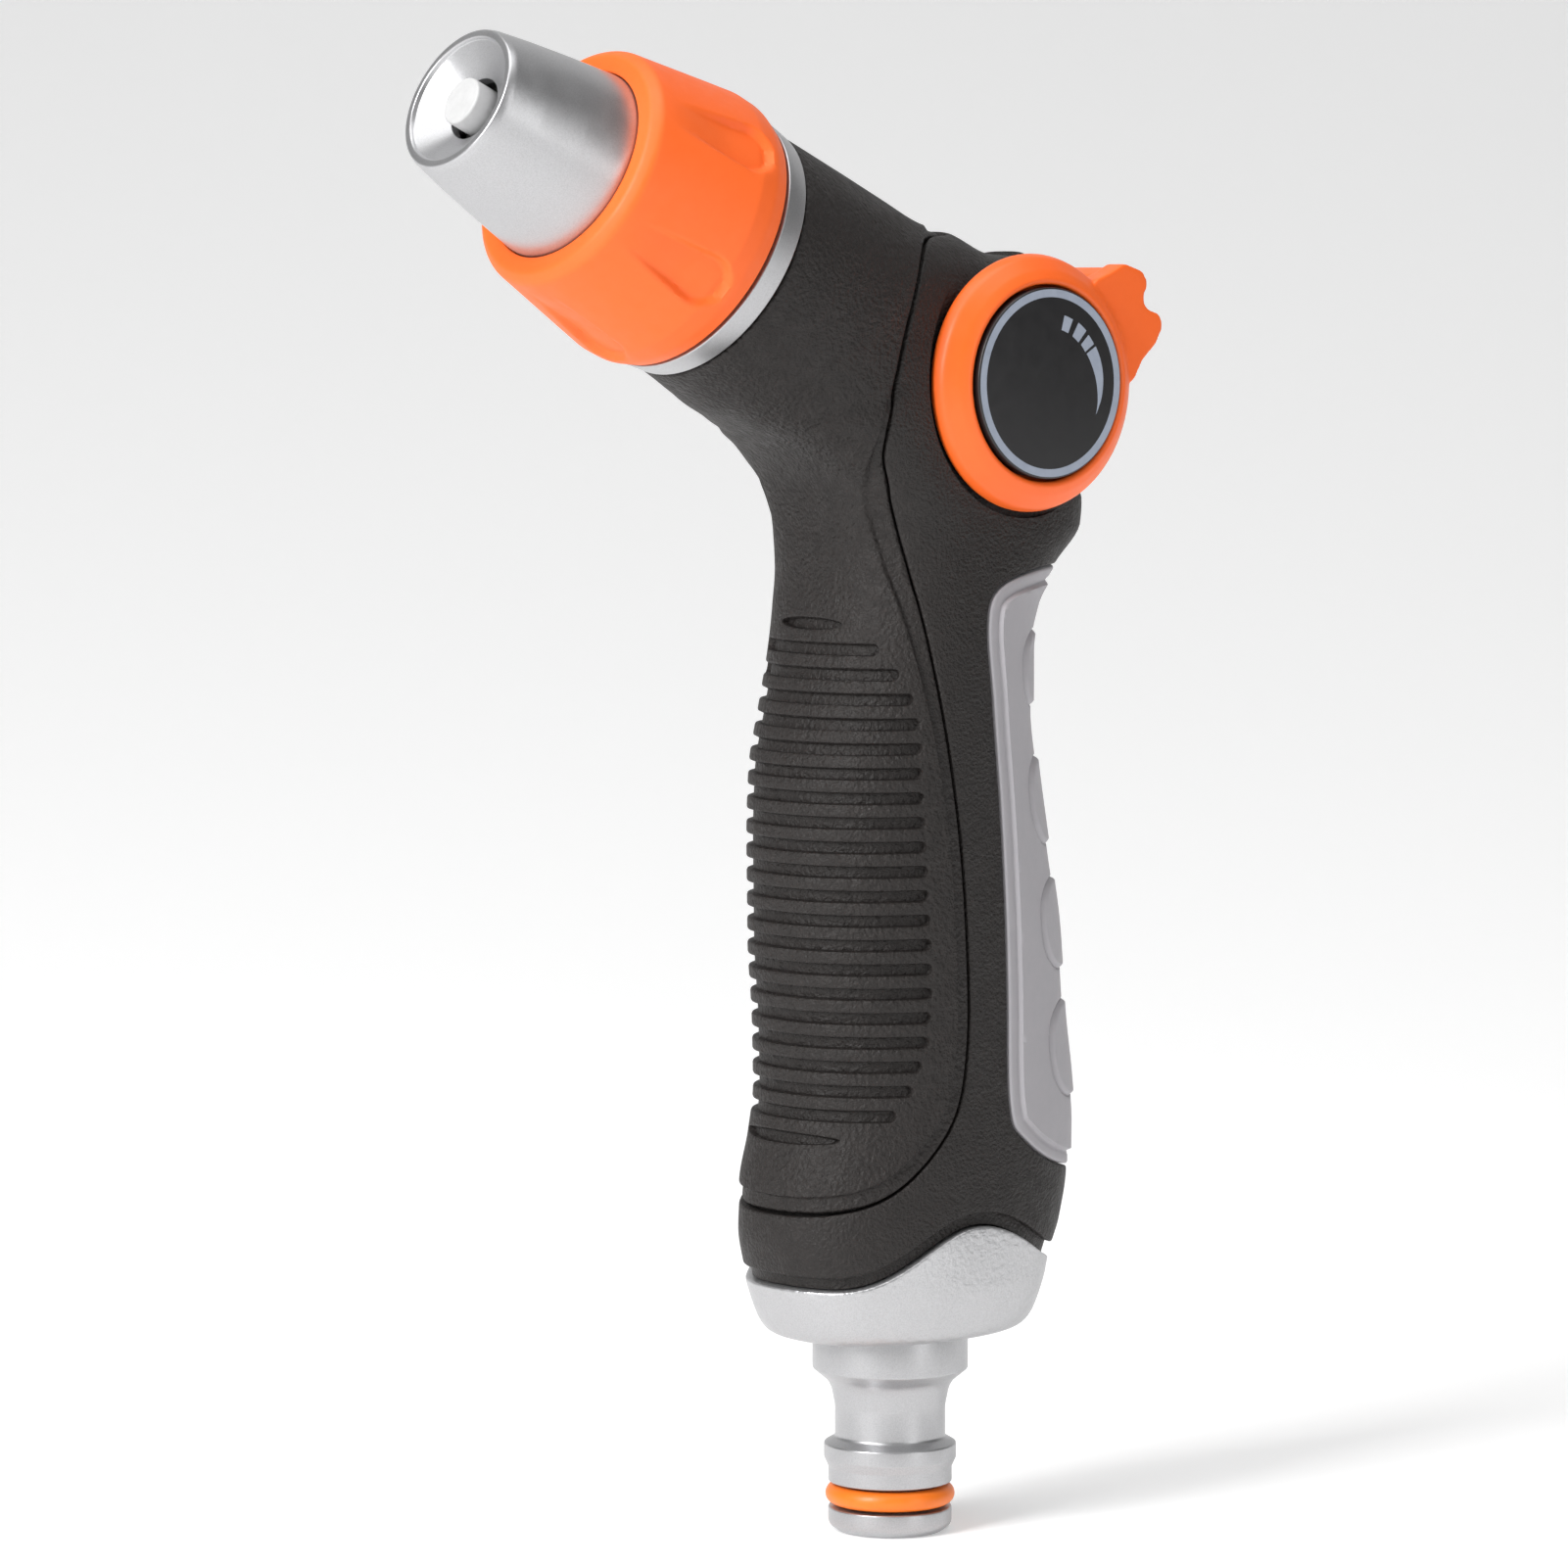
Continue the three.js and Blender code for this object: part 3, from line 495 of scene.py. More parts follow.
def noise(tree, scale, detail, roughness=0.5):
    coordinates = tree.nodes.new("ShaderNodeTexCoord")
    texture = tree.nodes.new("ShaderNodeTexNoise")
    texture.inputs["Scale"].default_value = scale
    texture.inputs["Detail"].default_value = detail
    texture.inputs["Roughness"].default_value = roughness
    tree.links.new(coordinates.outputs["Object"], texture.inputs["Vector"])
    return texture.outputs[0]


def ramp(tree, source, low, high, start, end):
    node = tree.nodes.new("ShaderNodeMapRange")
    node.inputs["From Min"].default_value = start
    node.inputs["From Max"].default_value = end
    node.inputs["To Min"].default_value = low
    node.inputs["To Max"].default_value = high
    tree.links.new(source, node.inputs["Value"])
    return node.outputs["Result"]


def bump(tree, surface, source, distance):
    """A full-strength bump of a given height in metres."""
    node = tree.nodes.new("ShaderNodeBump")
    node.inputs["Strength"].default_value = 1.0
    node.inputs["Distance"].default_value = distance
    tree.links.new(source, node.inputs["Height"])
    tree.links.new(node.outputs["Normal"], surface.inputs["Normal"])


def tint(tree, surface, source, dark, light, start, end):
    mix = tree.nodes.new("ShaderNodeMix")
    mix.data_type = "RGBA"
    mix.inputs["A"].default_value = (*dark, 1)
    mix.inputs["B"].default_value = (*light, 1)
    tree.links.new(ramp(tree, source, 0, 1, start, end), mix.inputs["Factor"])
    tree.links.new(mix.outputs["Result"], surface.inputs["Base Color"])


def grained(name, dark, light, rough, grain_mm, grain_height, **inputs):
    """Moulded plastic or rubber: a fine stipple, faint cloudiness and uneven gloss."""
    material, tree, surface = shader(name, light, sum(rough) / 2, **inputs)
    tint(tree, surface, noise(tree, CLOUD_SCALE, 6, 0.7), dark, light, 0.3, 0.7)
    bump(tree, surface, noise(tree, 1 / (grain_mm * MM), 2), grain_height * MM)
    gloss = ramp(tree, noise(tree, GLOSS_SCALE, 4), *rough, 0.3, 0.7)
    tree.links.new(gloss, surface.inputs["Roughness"])
    return material


def silver(name, light, rough, peel_mm, peel_height, metallic=0.85):
    """Pearl silver paint: metal flake, slight orange peel and soft wear in the gloss."""
    dark = tuple(c * 0.86 for c in light)
    material, tree, surface = shader(name, light, sum(rough) / 2, metallic)
    tint(tree, surface, noise(tree, 1 / (FLAKE_MM * MM), 2), dark, light, 0.3, 0.62)
    bump(tree, surface, noise(tree, 1 / (peel_mm * MM), 3), peel_height * MM)
    gloss = ramp(tree, noise(tree, WEAR_SCALE, 4), *rough, 0.3, 0.7)
    tree.links.new(gloss, surface.inputs["Roughness"])
    return material


GRIP_BLACK = grained("grip_soft_black", (0.0125, 0.0102, 0.0094), (0.021, 0.0172, 0.0158), (0.5, 0.64),
                     0.6, 0.42, Specular_IOR_Level=0.36)
BODY_BLACK = grained("body_black", (0.013, 0.0108, 0.01), (0.02, 0.0165, 0.0152), (0.46, 0.6),
                     0.45, 0.32, Specular_IOR_Level=0.36)
INSERT_GREY = grained("insert_grey", (0.375, 0.365, 0.385), (0.395, 0.38, 0.4), (0.6, 0.72), 0.25, 0.008)
ORANGE = grained("lever_orange", (0.985, 0.142, 0.014), (1.0, 0.15, 0.017), (0.38, 0.46), 0.3, 0.004)
DIAL_ORANGE = grained("dial_orange", (0.985, 0.142, 0.014), (1.0, 0.15, 0.017), (0.48, 0.58), 0.3, 0.006)
RING_ORANGE = grained("o_ring_orange", (0.97, 0.2, 0.012), (1.0, 0.22, 0.016), (0.35, 0.45), 0.4, 0.004)
CAP_BLACK = grained("cap_black", (0.014, 0.0135, 0.0145), (0.017, 0.0165, 0.0175), (0.3, 0.38), 0.2, 0.002)
PRINT_GREY = grained("print_grey", (0.3, 0.34, 0.42), (0.36, 0.4, 0.48), (0.4, 0.5), 0.15, 0.003)
PIN_GREY = grained("pin_grey", (0.5, 0.5, 0.5), (0.58, 0.58, 0.58), (0.4, 0.5), 0.3, 0.004)
SEAL_BLACK = grained("seal_black", (0.012, 0.012, 0.012), (0.02, 0.02, 0.02), (0.5, 0.6), 0.3, 0.006)
INNER_WHITE = grained("inner_plastic", (0.68, 0.66, 0.6), (0.76, 0.75, 0.7), (0.4, 0.5), 0.4, 0.006)
SILVER = silver("silver_paint", (0.52, 0.52, 0.53), (0.33, 0.4), 0.5, 0.012)
SILVER_GRAIN = silver("silver_grained", (0.55, 0.55, 0.56), (0.36, 0.43), 0.75, 0.16)
STEEL = silver("steel", (0.55, 0.55, 0.56), (0.22, 0.3), 0.3, 0.002, 1.0)

NODE_MATERIALS = {
    INNER_WHITE: ["inlet_tube", "valve_housing", "housing_cover", "valve_rotor", "outlet_barrel"],
    SEAL_BLACK: ["inlet_washer", "tube_seal", "inlet_seat", "outlet_seat", "spindle_seal_left",
                 "spindle_seal_right", "barrel_seal", "cone_seal"],
    STEEL: ["spindle_left", "spindle_right", "spindle_screw_left", "spindle_screw_right", "stop_clip"],
}
for material, nodes in NODE_MATERIALS.items():
    for node in nodes:
        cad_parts[node].material_slots[0].material = material


def stands_for(obj, node, body):
    """The piece takes the place of a CAD node and moves with its body."""
    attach(obj, body)
    if node:
        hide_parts(node)
    return obj


# ---------------------------------------------------------------- hard body


def band_width(z):
    """Width of the recessed band along the grip's edge: wide along the handle, narrow above."""
    return 0.35 + 1.25 * smoothstep(150, 122, z)


skin = add_side_fields(loft(SECTIONS, 0.75, BODY_SLIMMER))
skin.field("gap", [-(v + GRIP_GAP) for v in skin.fields["grip"]])
skin.field("recess", [-(v + INSERT_GAP) for v in skin.fields["insert"]])
skin.field("lower", [v - BODY_LIFT for v in skin.fields["wave"]])
skin.cut("height", [SKIRT_Z]).keep("height", SKIRT_Z)
for name in ("gap", "recess", "lower"):
    skin.cut(name, EDGE)
skin.cut("wave", (0, TUCK_WIDTH))
skin.cut("seat", (-0.4, 0, 0.05))
heights = rounded_edge(skin.get("gap"), EDGE_R, SUNK)
heights = np.minimum(heights, rounded_edge(skin.get("recess"), 0.3, SUNK))
heights = np.minimum(heights, rounded_edge(skin.get("lower"), EDGE_R, SKIRT_DEPTH))
heights = heights - SKIRT_TUCK * (1 - smoothstep(0, TUCK_WIDTH, skin.get("wave")))
points, faces = skin.raised(heights, BODY_WALL)
count = len(skin.points)
seat = skin.get("seat")
for i in range(count):
    if abs(points[i][1]) > CHEEK_Y and seat[i] > 0:
        points[i][1] = math.copysign(CHEEK_Y, points[i][1])
body_shell = new_object("body_shell", points, faces, BODY_BLACK)
stands_for(body_shell, "rear_body", "body")

# ---------------------------------------------------------------- soft front grip

SLOT_COUNT = 22
SLOT_TOP = 117.2
SLOT_PITCH = 3.08
SLOT_HALF = 0.8
SLOT_DEPTH = 0.85
SLOT_LIP = 0.08                   # how far the grip has sunk at a slot's edge
SLOT_ROUND = 0.2
BAND_DEPTH = 0.55
BAND_INSET = 0.3
BAND_EDGE = (-0.16, -0.1, 0.04, 0.14)
# Where the slots end, as height and distance round from the front.
SLOT_ENDS = [
    (52.6, 9.8), (55.6, 16.3), (59, 18.6), (64, 20.5), (70, 21.4), (77, 21.6), (87, 21.1), (96, 20.4),
    (101.8, 19.4), (104.9, 18.4), (108, 16.9), (111.0, 14.6), (114.1, 11.5), (117.2, 6),
]
slot_end_z, slot_end_reach = np.array(SLOT_ENDS).T

skin = add_side_fields(loft(SECTIONS, 0.42))
x, _, z = skin.xyz()
skin.field("band", skin.get("grip") - band_width(z) - BAND_INSET)
front = skin.get("front")
nearest = np.clip(np.round((SLOT_TOP - z) / SLOT_PITCH), 0, SLOT_COUNT - 1)
centre = SLOT_TOP - nearest * SLOT_PITCH
reach = np.interp(centre, slot_end_z, slot_end_reach)
beyond = np.maximum(front - (reach - SLOT_HALF), 0)
short = (nearest == 0) | (nearest == SLOT_COUNT - 1)
# The first and the last slot are slim lenses.
lens = SLOT_HALF * np.sqrt(np.maximum(1 - (front / reach) ** 2, 0))
past = np.hypot(np.maximum(front - reach, 0), z - centre)
distance = np.where(short, np.where(front < reach, np.abs(z - centre) - lens, past),
                    np.hypot(beyond, z - centre) - SLOT_HALF)
skin.field("slot", np.clip(distance, -1, 1.5))
skin.cut("grip", [-0.02]).keep("grip", -0.02)
skin.cut("grip", EDGE)
skin.cut("band", BAND_EDGE)
skin.cut("slot", (-SLOT_ROUND, -0.1, 0, 0.08, SLOT_ROUND))
skin.cut("rim", EDGE[2:])
band = skin.get("band")
slot = skin.get("slot")
heights = rounded_edge(skin.get("grip"), EDGE_R, 1.2)
heights = heights - BAND_DEPTH * (1 - smoothstep(BAND_EDGE[0], BAND_EDGE[-1], band))
heights = np.minimum(heights, rounded_edge(skin.get("rim"), EDGE_R, 0.3))
slot_height = np.where(slot > 0, -SLOT_LIP * (1 - smoothstep(0, SLOT_ROUND, slot)),
                       -SLOT_LIP - (SLOT_DEPTH - SLOT_LIP) * smoothstep(0, -SLOT_ROUND, slot))
heights = heights + np.where(slot < SLOT_ROUND, slot_height, 0)
points, faces = skin.raised(heights, SOFT_WALL)
grip = new_object("soft_grip", points, faces, GRIP_BLACK, 50)
stands_for(grip, "front_grip", "body")

# ---------------------------------------------------------------- back insert

PAD_RAISE = 0.45
PANEL_RAISE = 0.5
PANEL_EDGE = (1.66, 1.98)         # the raised panel's side, as distance from the insert's edge
INSERT_PROUD = 0.15
PAD_GROOVE = 0.22                 # round each pad
PAD_SQUARENESS = 2.4
# Pads as height, half height and half width.
SIDE_PADS = [(111.1, 4.8, 4.5), (93.9, 5.6, 5.2), (78.0, 5.8, 6.7), (61.8, 6.2, 6.9)]
MIDDLE_PADS = [(102.5, 4.2, 5.2), (86, 4.0, 5.2), (70, 4.0, 5.2), (53.5, 3.2, 5.2)]
SIDE_PAD_PLACE = 11.2             # round the section from the back


def pad_distance(back, z):
    best = np.full(len(z), 9.0)
    for place, pads in ((SIDE_PAD_PLACE, SIDE_PADS), (0.0, MIDDLE_PADS)):
        for middle, half, reach in pads:
            across = np.abs((back - place) / reach) ** PAD_SQUARENESS
            along = np.abs((z - middle) / half) ** PAD_SQUARENESS
            oval = (across + along) ** (1 / PAD_SQUARENESS)
            best = np.minimum(best, (oval - 1) * reach)
    return best


skin = add_side_fields(loft(SECTIONS, 0.5, BODY_SLIMMER))
_, _, z = skin.xyz()
skin.field("pad", np.clip(pad_distance(skin.get("back"), z), -1.5, 2))
skin.cut("insert", [-0.02]).keep("insert", -0.02)
skin.cut("insert", (*EDGE, 1.1, 1.62, 1.7, 1.85, 1.98))
skin.cut("pad", (-0.5, -0.25, -0.05, 0.08, 0.2, 0.35))
inset = skin.get("insert")
pad = skin.get("pad")
heights = rounded_edge(inset, EDGE_R, 1.4) + INSERT_PROUD
heights = heights - INSERT_PROUD * smoothstep(1.0, 1.6, inset)
heights = heights + (PANEL_RAISE + INSERT_PROUD) * smoothstep(*PANEL_EDGE, inset)
groove = PAD_GROOVE * (1 - smoothstep(0, PAD_GROOVE, np.abs(pad - 0.12)))
inside = smoothstep(2.4, 3.4, inset)
heights = heights + inside * (PAD_RAISE * smoothstep(0.08, -0.5, pad) - groove)
points, faces = skin.raised(heights, SOFT_WALL)
insert = new_object("back_insert", points, faces, INSERT_GREY, 50)
stands_for(insert, "grip_insert", "body")

# ---------------------------------------------------------------- end bell

BELL_MIDDLE = (1.0, 20.4, 15.9)   # x of the middle, half depth, half width at full size
# Height, and share of full size there.
BELL_SHARES = [
    (25.8, 0.42), (25.8, 0.74), (26.05, 0.80), (26.7, 0.862), (27.9, 0.91), (29.4, 0.944),
    (31.2, 0.975), (33, 1),
]


def bell_sections():
    middle, depth, width = BELL_MIDDLE
    made = []
    for z, share in BELL_SHARES:
        reach, half = depth * share, width * share
        made.append(((middle - reach, z), (middle + reach, z), half, half, 2.3))
    return made + SECTIONS[1:4]


skin = add_side_fields(loft(bell_sections(), 0.5, BELL_SLIMMER))
skin.field("top", [-v for v in skin.fields["wave"]])
skin.cut("top", [-0.01]).keep("top", -0.01)
skin.cut("top", EDGE)
heights = rounded_edge(skin.get("top"), 0.3, 0.5)
points, faces = skin.raised(heights, 1.6)
bell = new_object("bell", points, faces, SILVER_GRAIN, 40)
stands_for(bell, "end_bell", "body")

# ---------------------------------------------------------------- hose plug

# Closed profiles of turned pieces: radius, height or station, and the corner's own radius.
PLUG = [
    (4.2, 0.4, 0), (4.6, 0, 0.1), (6.75, 0, 0.6), (7.95, 0.85, 1.2), (7.95, 3.1, 0.2), (5.4, 3.1, 0.1),
    (5.4, 6.35, 0.1), (7.95, 6.35, 0.2), (7.95, 8.3, 0.5), (8.5, 9.5, 0.35), (8.5, 11.35, 0.3),
    (7.1, 12.15, 0.6), (7.1, 16.2, 4), (7.7, 19.2, 3), (10, 21.1, 0.45), (10, 25.6, 0.15), (8, 25.6, 0),
    (8, 37.4, 0.2), (4.2, 37.4, 0.1),
]
O_RING_R = 7.05
O_RING_SECTION = 2.55
O_RING_Z = 4.725
plug = lathe("plug", filleted(PLUG), (0, 0, 0), (0, 0, 1), SILVER)
stands_for(plug, "hose_plug", "body")
o_ring = torus("plug_ring", O_RING_R, O_RING_SECTION, O_RING_Z, (0, 0, 0), (0, 0, 1), RING_ORANGE)
stands_for(o_ring, "plug_o_ring", "body")

# ---------------------------------------------------------------- thumb lever

LEVER_RING = [
    (3, 13.95, 0), (15.7, 13.95, 0.5), (16.4, 14.9, 0.9), (15.9, 16.4, 1.2), (14.2, 17.9, 1.6),
    (13.0, 18.6, 0.5), (12.4, 18.3, 0.3), (12.4, 15.05, 0), (3, 15.05, 0),
]
# The thumb tab in the side view, as degrees and radius about the pivot.
TAB_RIDGES = [
    (14, 20.5), (18.6, 22.2), (23, 22.2), (25.4, 21), (28, 20.3), (31.8, 20.7), (34, 22.3), (39, 22.4),
]
TAB_WEB = [
    (0, 15.9), (8.5, 17.6), *TAB_RIDGES, (46.8, 20.7), (49.4, 18.4), (54, 16.1), (54, 13.4), (48, 13.4),
    (33, 13.4), (16, 13.4), (0, 13.4),
]
TAB_BRIDGE = [
    (9.5, 17.7), *TAB_RIDGES, (44.5, 20.9), (47.3, 18.6), (47.5, 17.7), (38, 17.7), (28, 17.7), (18, 17.7),
]
TAB_ROUND = 1.2
RING_INNER_Y = 13.95              # inner face of the lever's rings
WEB_OUTER_Y = 17.2
BRIDGE_Y = 15
LEVER_SEGMENTS = 128


def round_pivot(outline):
    made = []
    for degrees, radius in outline:
        a = math.radians(degrees)
        made.append((PIVOT[0] + radius * math.cos(a), PIVOT[1] + radius * math.sin(a)))
    return made


def rounded_outline(outline, radius):
    return [tuple(p) for p in filleted([(x, z, radius) for x, z in outline], 4)]


PIVOT_POINT = (PIVOT[0], 0, PIVOT[1])
left_ring = filleted([(r, -y, f) for r, y, f in LEVER_RING])
lever = lathe("lever", left_ring, PIVOT_POINT, (0, 1, 0), ORANGE, LEVER_SEGMENTS)
unite(lever, lathe("ring", filleted(LEVER_RING), PIVOT_POINT, (0, 1, 0), ORANGE, LEVER_SEGMENTS))
web = rounded_outline(round_pivot(TAB_WEB), TAB_ROUND)
unite(lever, prism("web", web, -WEB_OUTER_Y, -RING_INNER_Y, ORANGE))
unite(lever, prism("web", web, RING_INNER_Y, WEB_OUTER_Y, ORANGE))
bridge = rounded_outline(round_pivot(TAB_BRIDGE), TAB_ROUND)
unite(lever, prism("bridge", bridge, -BRIDGE_Y, BRIDGE_Y, ORANGE))
apply_modifier(lever, "REMESH", mode="VOXEL", voxel_size=0.22 * MM)
apply_modifier(lever, "SMOOTH", factor=0.5, iterations=9)
lever.data.materials.clear()
lever.data.materials.append(ORANGE)
for polygon in lever.data.polygons:
    polygon.use_smooth = True
stands_for(lever, "thumb_lever", "lever")

CAP = [
    (0, 17.75, 0), (10.4, 17.75, 0), (10.4, 15.6, 0), (11.7, 15.6, 0), (11.7, 17.7, 0),
    (12.05, 17.9, 0), (12.05, 18.95, 0.3), (0, 18.95, 0),
]
# The printed mark: start and end degrees with radii of each block, then stations along the wedge.
CAP_FACE = 18.93
MARK_THICK = 0.04
MARK_RING = (10.8, 11.8)
MARK_BLOCKS = [(65, 75, 6.9, 8.8), (47.5, 58.3, 6.9, 8.9), (33.7, 43.3, 7.0, 8.8)]
MARK_WEDGE = [
    (31, 7.1, 8.9), (18, 7.3, 8.95), (3, 7.7, 8.95), (-8, 8.05, 8.9), (-15, 8.3, 8.85), (-21, 8.5, 8.75),
    (-27, 8.68, 8.72),
]
WEDGE_STEPS = 30


def flow_mark(name, side):
    """The printed ring, three blocks and a tapering wedge, as a thin layer on a cap."""
    low, high = CAP_FACE, CAP_FACE + MARK_THICK
    strips = [([(a, *MARK_RING) for a in range(0, 361, 3)], True)]
    for start, end, inner, outer in MARK_BLOCKS:
        strips.append(([(start + (end - start) * k / 6, inner, outer) for k in range(7)], False))
    degrees = [-a for a, _, _ in MARK_WEDGE]
    places = np.linspace(degrees[0], degrees[-1], WEDGE_STEPS)
    radii = monotone(degrees, [[inner, outer] for _, inner, outer in MARK_WEDGE], places)
    strips.append(([(-a, *pair) for a, pair in zip(places, radii)], False))
    points, faces = [], []
    for strip, closed in strips:
        start = len(points)
        for a, inner, outer in strip[: -1 if closed else None]:
            c, s = math.cos(math.radians(a)), math.sin(math.radians(a))
            for r, y in ((inner, low), (outer, low), (outer, high), (inner, high)):
                points.append((PIVOT[0] + r * c, side * y, PIVOT[1] + r * s))
        count = (len(points) - start) // 4
        for k in range(count if closed else count - 1):
            n = (k + 1) % count
            for i in range(4):
                j = (i + 1) % 4
                faces.append([start + 4 * k + i, start + 4 * k + j, start + 4 * n + j, start + 4 * n + i])
        if not closed:
            faces.append([start + i for i in range(4)])
            faces.append([start + 4 * (count - 1) + i for i in range(4)])
    return new_object(name, points, faces, PRINT_GREY)


for side, hand in ((-1, "left"), (1, "right")):
    profile = filleted([(r, side * y, f) for r, y, f in CAP])
    cap = lathe("lever_cap_" + hand, profile, PIVOT_POINT, (0, 1, 0), CAP_BLACK)
    stands_for(cap, "cap_" + hand, "lever")
    stands_for(flow_mark("flow_mark_" + hand, side), None, "lever")

# ---------------------------------------------------------------- spray head

COLLAR = [
    (9.4, -5.5, 0), (11.3, -5.5, 0), (11.3, 6.75, 0), (16.9, 6.75, 0.25), (17.35, 10.1, 0.2),
    (15.2, 10.1, 0), (15.2, 16.5, 0), (12.9, 16.5, 0), (12.9, 9, 0), (9.4, 9, 0),
]
DIAL = [
    (15.6, 10.5, 0), (17.3, 10.5, 0.5), (18.15, 12.8, 2.5), (18.2, 15.2, 3), (17.44, 20, 8),
    (16.13, 28, 6), (15.75, 30.4, 1.6), (14.6, 31.45, 1.0), (12.45, 31.4, 0.25), (12.45, 17.6, 0),
    (15.6, 17.6, 0),
]
CONE = [
    (9.35, 18, 0), (12.1, 18, 0), (12.1, 29, 0.5), (12.36, 30, 0.5), (12.3, 31.5, 3), (11.35, 38, 14),
    (10.35, 44, 12), (9.45, 48.6, 3), (9.1, 49.5, 0.4), (8.2, 49.5, 0.3), (8.0, 49.0, 0.3),
    (4, 46.6, 0.2), (4, 45.4, 0), (10.9, 39, 0), (10.9, 28.5, 0), (9.35, 28.5, 0), (9.35, 26.75, 0),
    (11.4, 26.75, 0), (11.4, 23.95, 0), (9.35, 23.95, 0),
]
PIN = [
    (0, 28, 0), (4.85, 28, 0), (4.85, 31, 0), (1.8, 31, 0), (1.8, 38.8, 0), (3.06, 40.5, 0),
    (3.06, 48.9, 0.35), (0, 48.9, 0),
]
DIMPLES = 6
DIMPLE_HALF = 3.6
DIMPLE_REAR = 13.6
DIMPLE_DEPTH = 0.95
DIMPLE_TAPER = 0.13               # half width lost per millimetre towards the front
DIMPLE_FADE = (29, 19)            # stations where the depth starts and is full
DIMPLE_TURN = math.radians(30)
DIAL_BORE = 15.65                 # the dial's inner faces lie within this radius
DIAL_SEGMENTS = 420


def along_profile(profile, spacing):
    """The profile with long edges split, for relief."""
    made = []
    for k, p in enumerate(profile):
        q = profile[(k + 1) % len(profile)]
        run, rise = q[0] - p[0], q[1] - p[1]
        steps = max(1, int(math.hypot(run, rise) / spacing))
        made += [(p[0] + run * i / steps, p[1] + rise * i / steps) for i in range(steps)]
    return made


def dimple(angle, radius, station):
    """Depth of the finger hollows round the dial."""
    if radius < DIAL_BORE:
        return 0
    sector = TAU / DIMPLES
    offset = (angle - DIMPLE_TURN + sector / 2) % sector - sector / 2
    aside = abs(offset) * radius
    centre = DIMPLE_REAR + DIMPLE_HALF
    half = DIMPLE_HALF - DIMPLE_TAPER * max(station - centre, 0)
    distance = math.hypot(aside, min(station - centre, 0)) - half
    inside = float(smoothstep(0.1, -0.8, distance))
    fade = float(smoothstep(*DIMPLE_FADE, station))
    return DIMPLE_DEPTH * inside * fade


collar = lathe("collar", filleted(COLLAR), FOOT, SPRAY_AXIS, SILVER)
stands_for(collar, "collar_ring", "body")
fine_profile = along_profile(filleted(DIAL), 0.35)
dial = lathe("dial", fine_profile, FOOT, SPRAY_AXIS, DIAL_ORANGE, DIAL_SEGMENTS, dimple)
stands_for(dial, "spray_dial", "spray_head")
cone = lathe("cone", filleted(CONE), FOOT, SPRAY_AXIS, SILVER)
stands_for(cone, "nozzle_cone", "spray_head")
pin = lathe("mouth_pin", filleted(PIN), FOOT, SPRAY_AXIS, PIN_GREY)
stands_for(pin, "centre_pin", "body")

# ---------------------------------------------------------------- floor, light and camera

FLOOR_HALF = 2.5
FLOOR_END = 0.3                   # where the floor starts to curve up, behind the object
WALL_CURVE = 1.7
FLOOR_GLOW = 0.28


def backdrop():
    """A pale floor that curves up into a wall behind the object."""
    profile = [(-2.0, 0), (-1.0, 0), (-0.3, 0), (FLOOR_END, 0)]
    for a in np.linspace(0, math.pi / 2, 41)[1:]:
        profile.append((FLOOR_END + WALL_CURVE * math.sin(a), WALL_CURVE - WALL_CURVE * math.cos(a)))
    profile.append((FLOOR_END + WALL_CURVE, 3.0))
    heading = Vector((-math.sin(CAMERA_YAW), math.cos(CAMERA_YAW), 0))
    aside = Vector((heading.y, -heading.x, 0))
    mesh = bpy.data.meshes.new("backdrop")
    points = []
    for place in (-FLOOR_HALF, FLOOR_HALF):
        points += [heading * d + aside * place + Vector((0, 0, h)) for d, h in profile]
    n = len(profile)
    mesh.from_pydata(points, [], [[i, i + 1, n + i + 1, n + i] for i in range(n - 1)])
    for polygon in mesh.polygons:
        polygon.use_smooth = True
    made = bpy.data.objects.new("backdrop", mesh)
    bpy.context.collection.objects.link(made)
    material, _, surface = shader("backdrop", (0.9, 0.9, 0.9), 0.8)
    surface.inputs["Emission Color"].default_value = (1, 1, 1, 1)
    surface.inputs["Emission Strength"].default_value = FLOOR_GLOW
    mesh.materials.append(material)


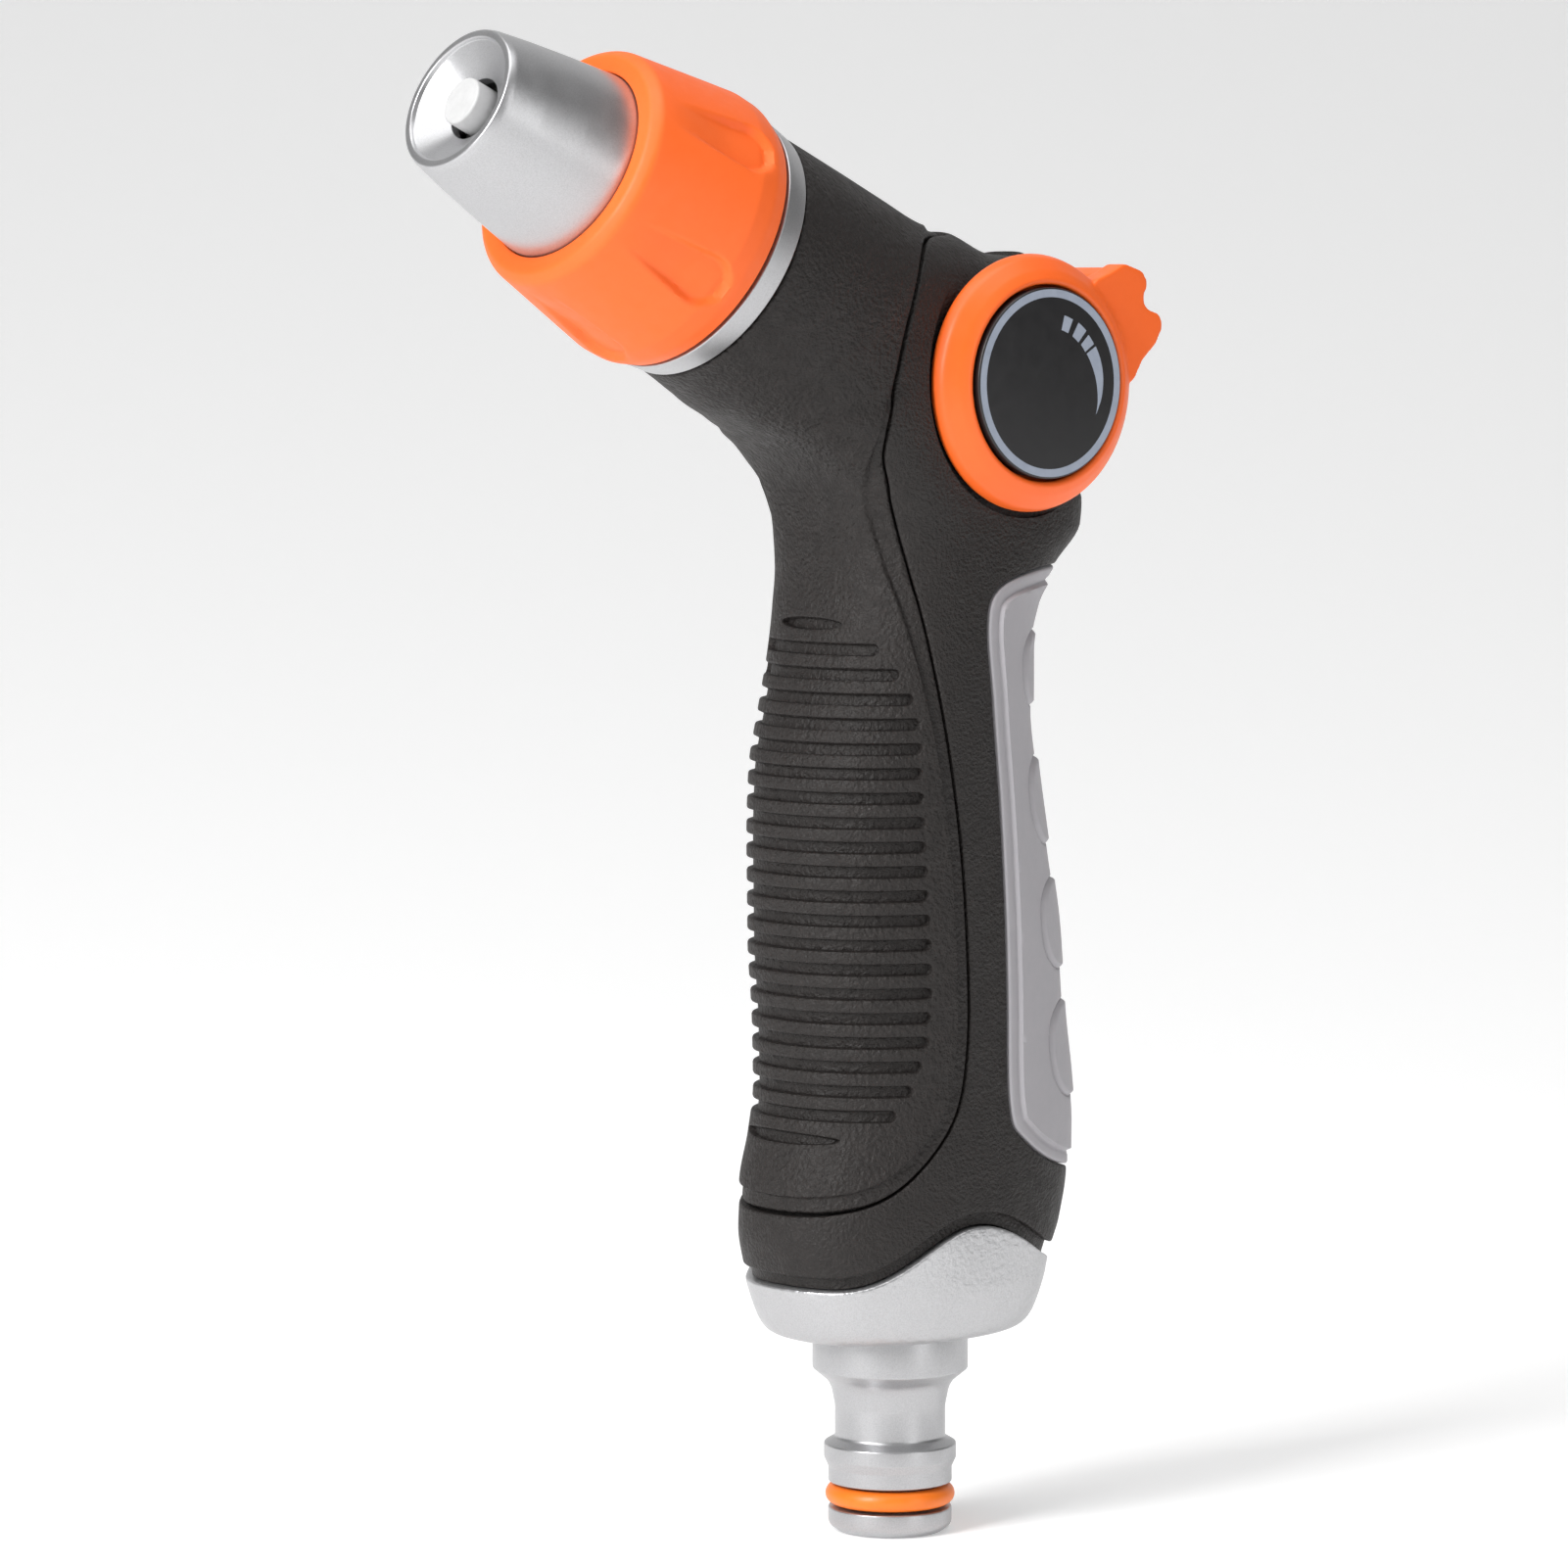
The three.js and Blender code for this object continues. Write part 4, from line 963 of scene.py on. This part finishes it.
def area_light(name, place, target, size, power):
    data = bpy.data.lights.new(name, "AREA")
    data.shape = "RECTANGLE"
    data.size, data.size_y = size
    data.energy = power
    made = bpy.data.objects.new(name, data)
    bpy.context.collection.objects.link(made)
    made.location = place
    made.rotation_euler = (Vector(target) - Vector(place)).to_track_quat("-Z", "Y").to_euler()


CAMERA_AZIMUTH = math.radians(-40.85)
CAMERA_YAW = CAMERA_AZIMUTH + math.radians(0.97)
CAMERA_PITCH = math.radians(4.49)
CAMERA_DISTANCE = 0.8057
CAMERA_HEIGHT = 0.1594
LENS = 145.4

data = bpy.data.cameras.new("camera")
data.lens = LENS
data.sensor_width = 36
camera = bpy.data.objects.new("camera", data)
camera.location = (
    CAMERA_DISTANCE * math.sin(CAMERA_AZIMUTH),
    -CAMERA_DISTANCE * math.cos(CAMERA_AZIMUTH),
    CAMERA_HEIGHT,
)
ahead = Vector((
    -math.sin(CAMERA_YAW) * math.cos(CAMERA_PITCH),
    math.cos(CAMERA_YAW) * math.cos(CAMERA_PITCH),
    -math.sin(CAMERA_PITCH),
))
camera.rotation_euler = ahead.to_track_quat("-Z", "Y").to_euler()
bpy.context.collection.objects.link(camera)
bpy.context.scene.camera = camera

backdrop()
right = Vector((math.cos(CAMERA_YAW), math.sin(CAMERA_YAW), 0))
near = Vector((math.sin(CAMERA_YAW), -math.cos(CAMERA_YAW), 0))
MIDDLE = (0, 0, 0.1)              # where the lights point
WORLD_LIGHT = 0.13
area_light("key", right * -0.75 + near * 0.75 + Vector((0, 0, 0.7)), MIDDLE, (0.4, 0.8), 15.5)
area_light("fill", right * 0.8 + near * 0.75 + Vector((0, 0, 0.3)), MIDDLE, (0.3, 0.9), 2.2)
area_light("top", near * 0.1 + Vector((0, 0, 1.0)), MIDDLE, (0.9, 0.6), 4.6)
world = bpy.data.worlds.new("studio")
world.use_nodes = True
world.node_tree.nodes["Background"].inputs["Color"].default_value = (1, 1, 1, 1)
world.node_tree.nodes["Background"].inputs["Strength"].default_value = WORLD_LIGHT
bpy.context.scene.world = world
bpy.context.scene.view_settings.view_transform = "Standard"
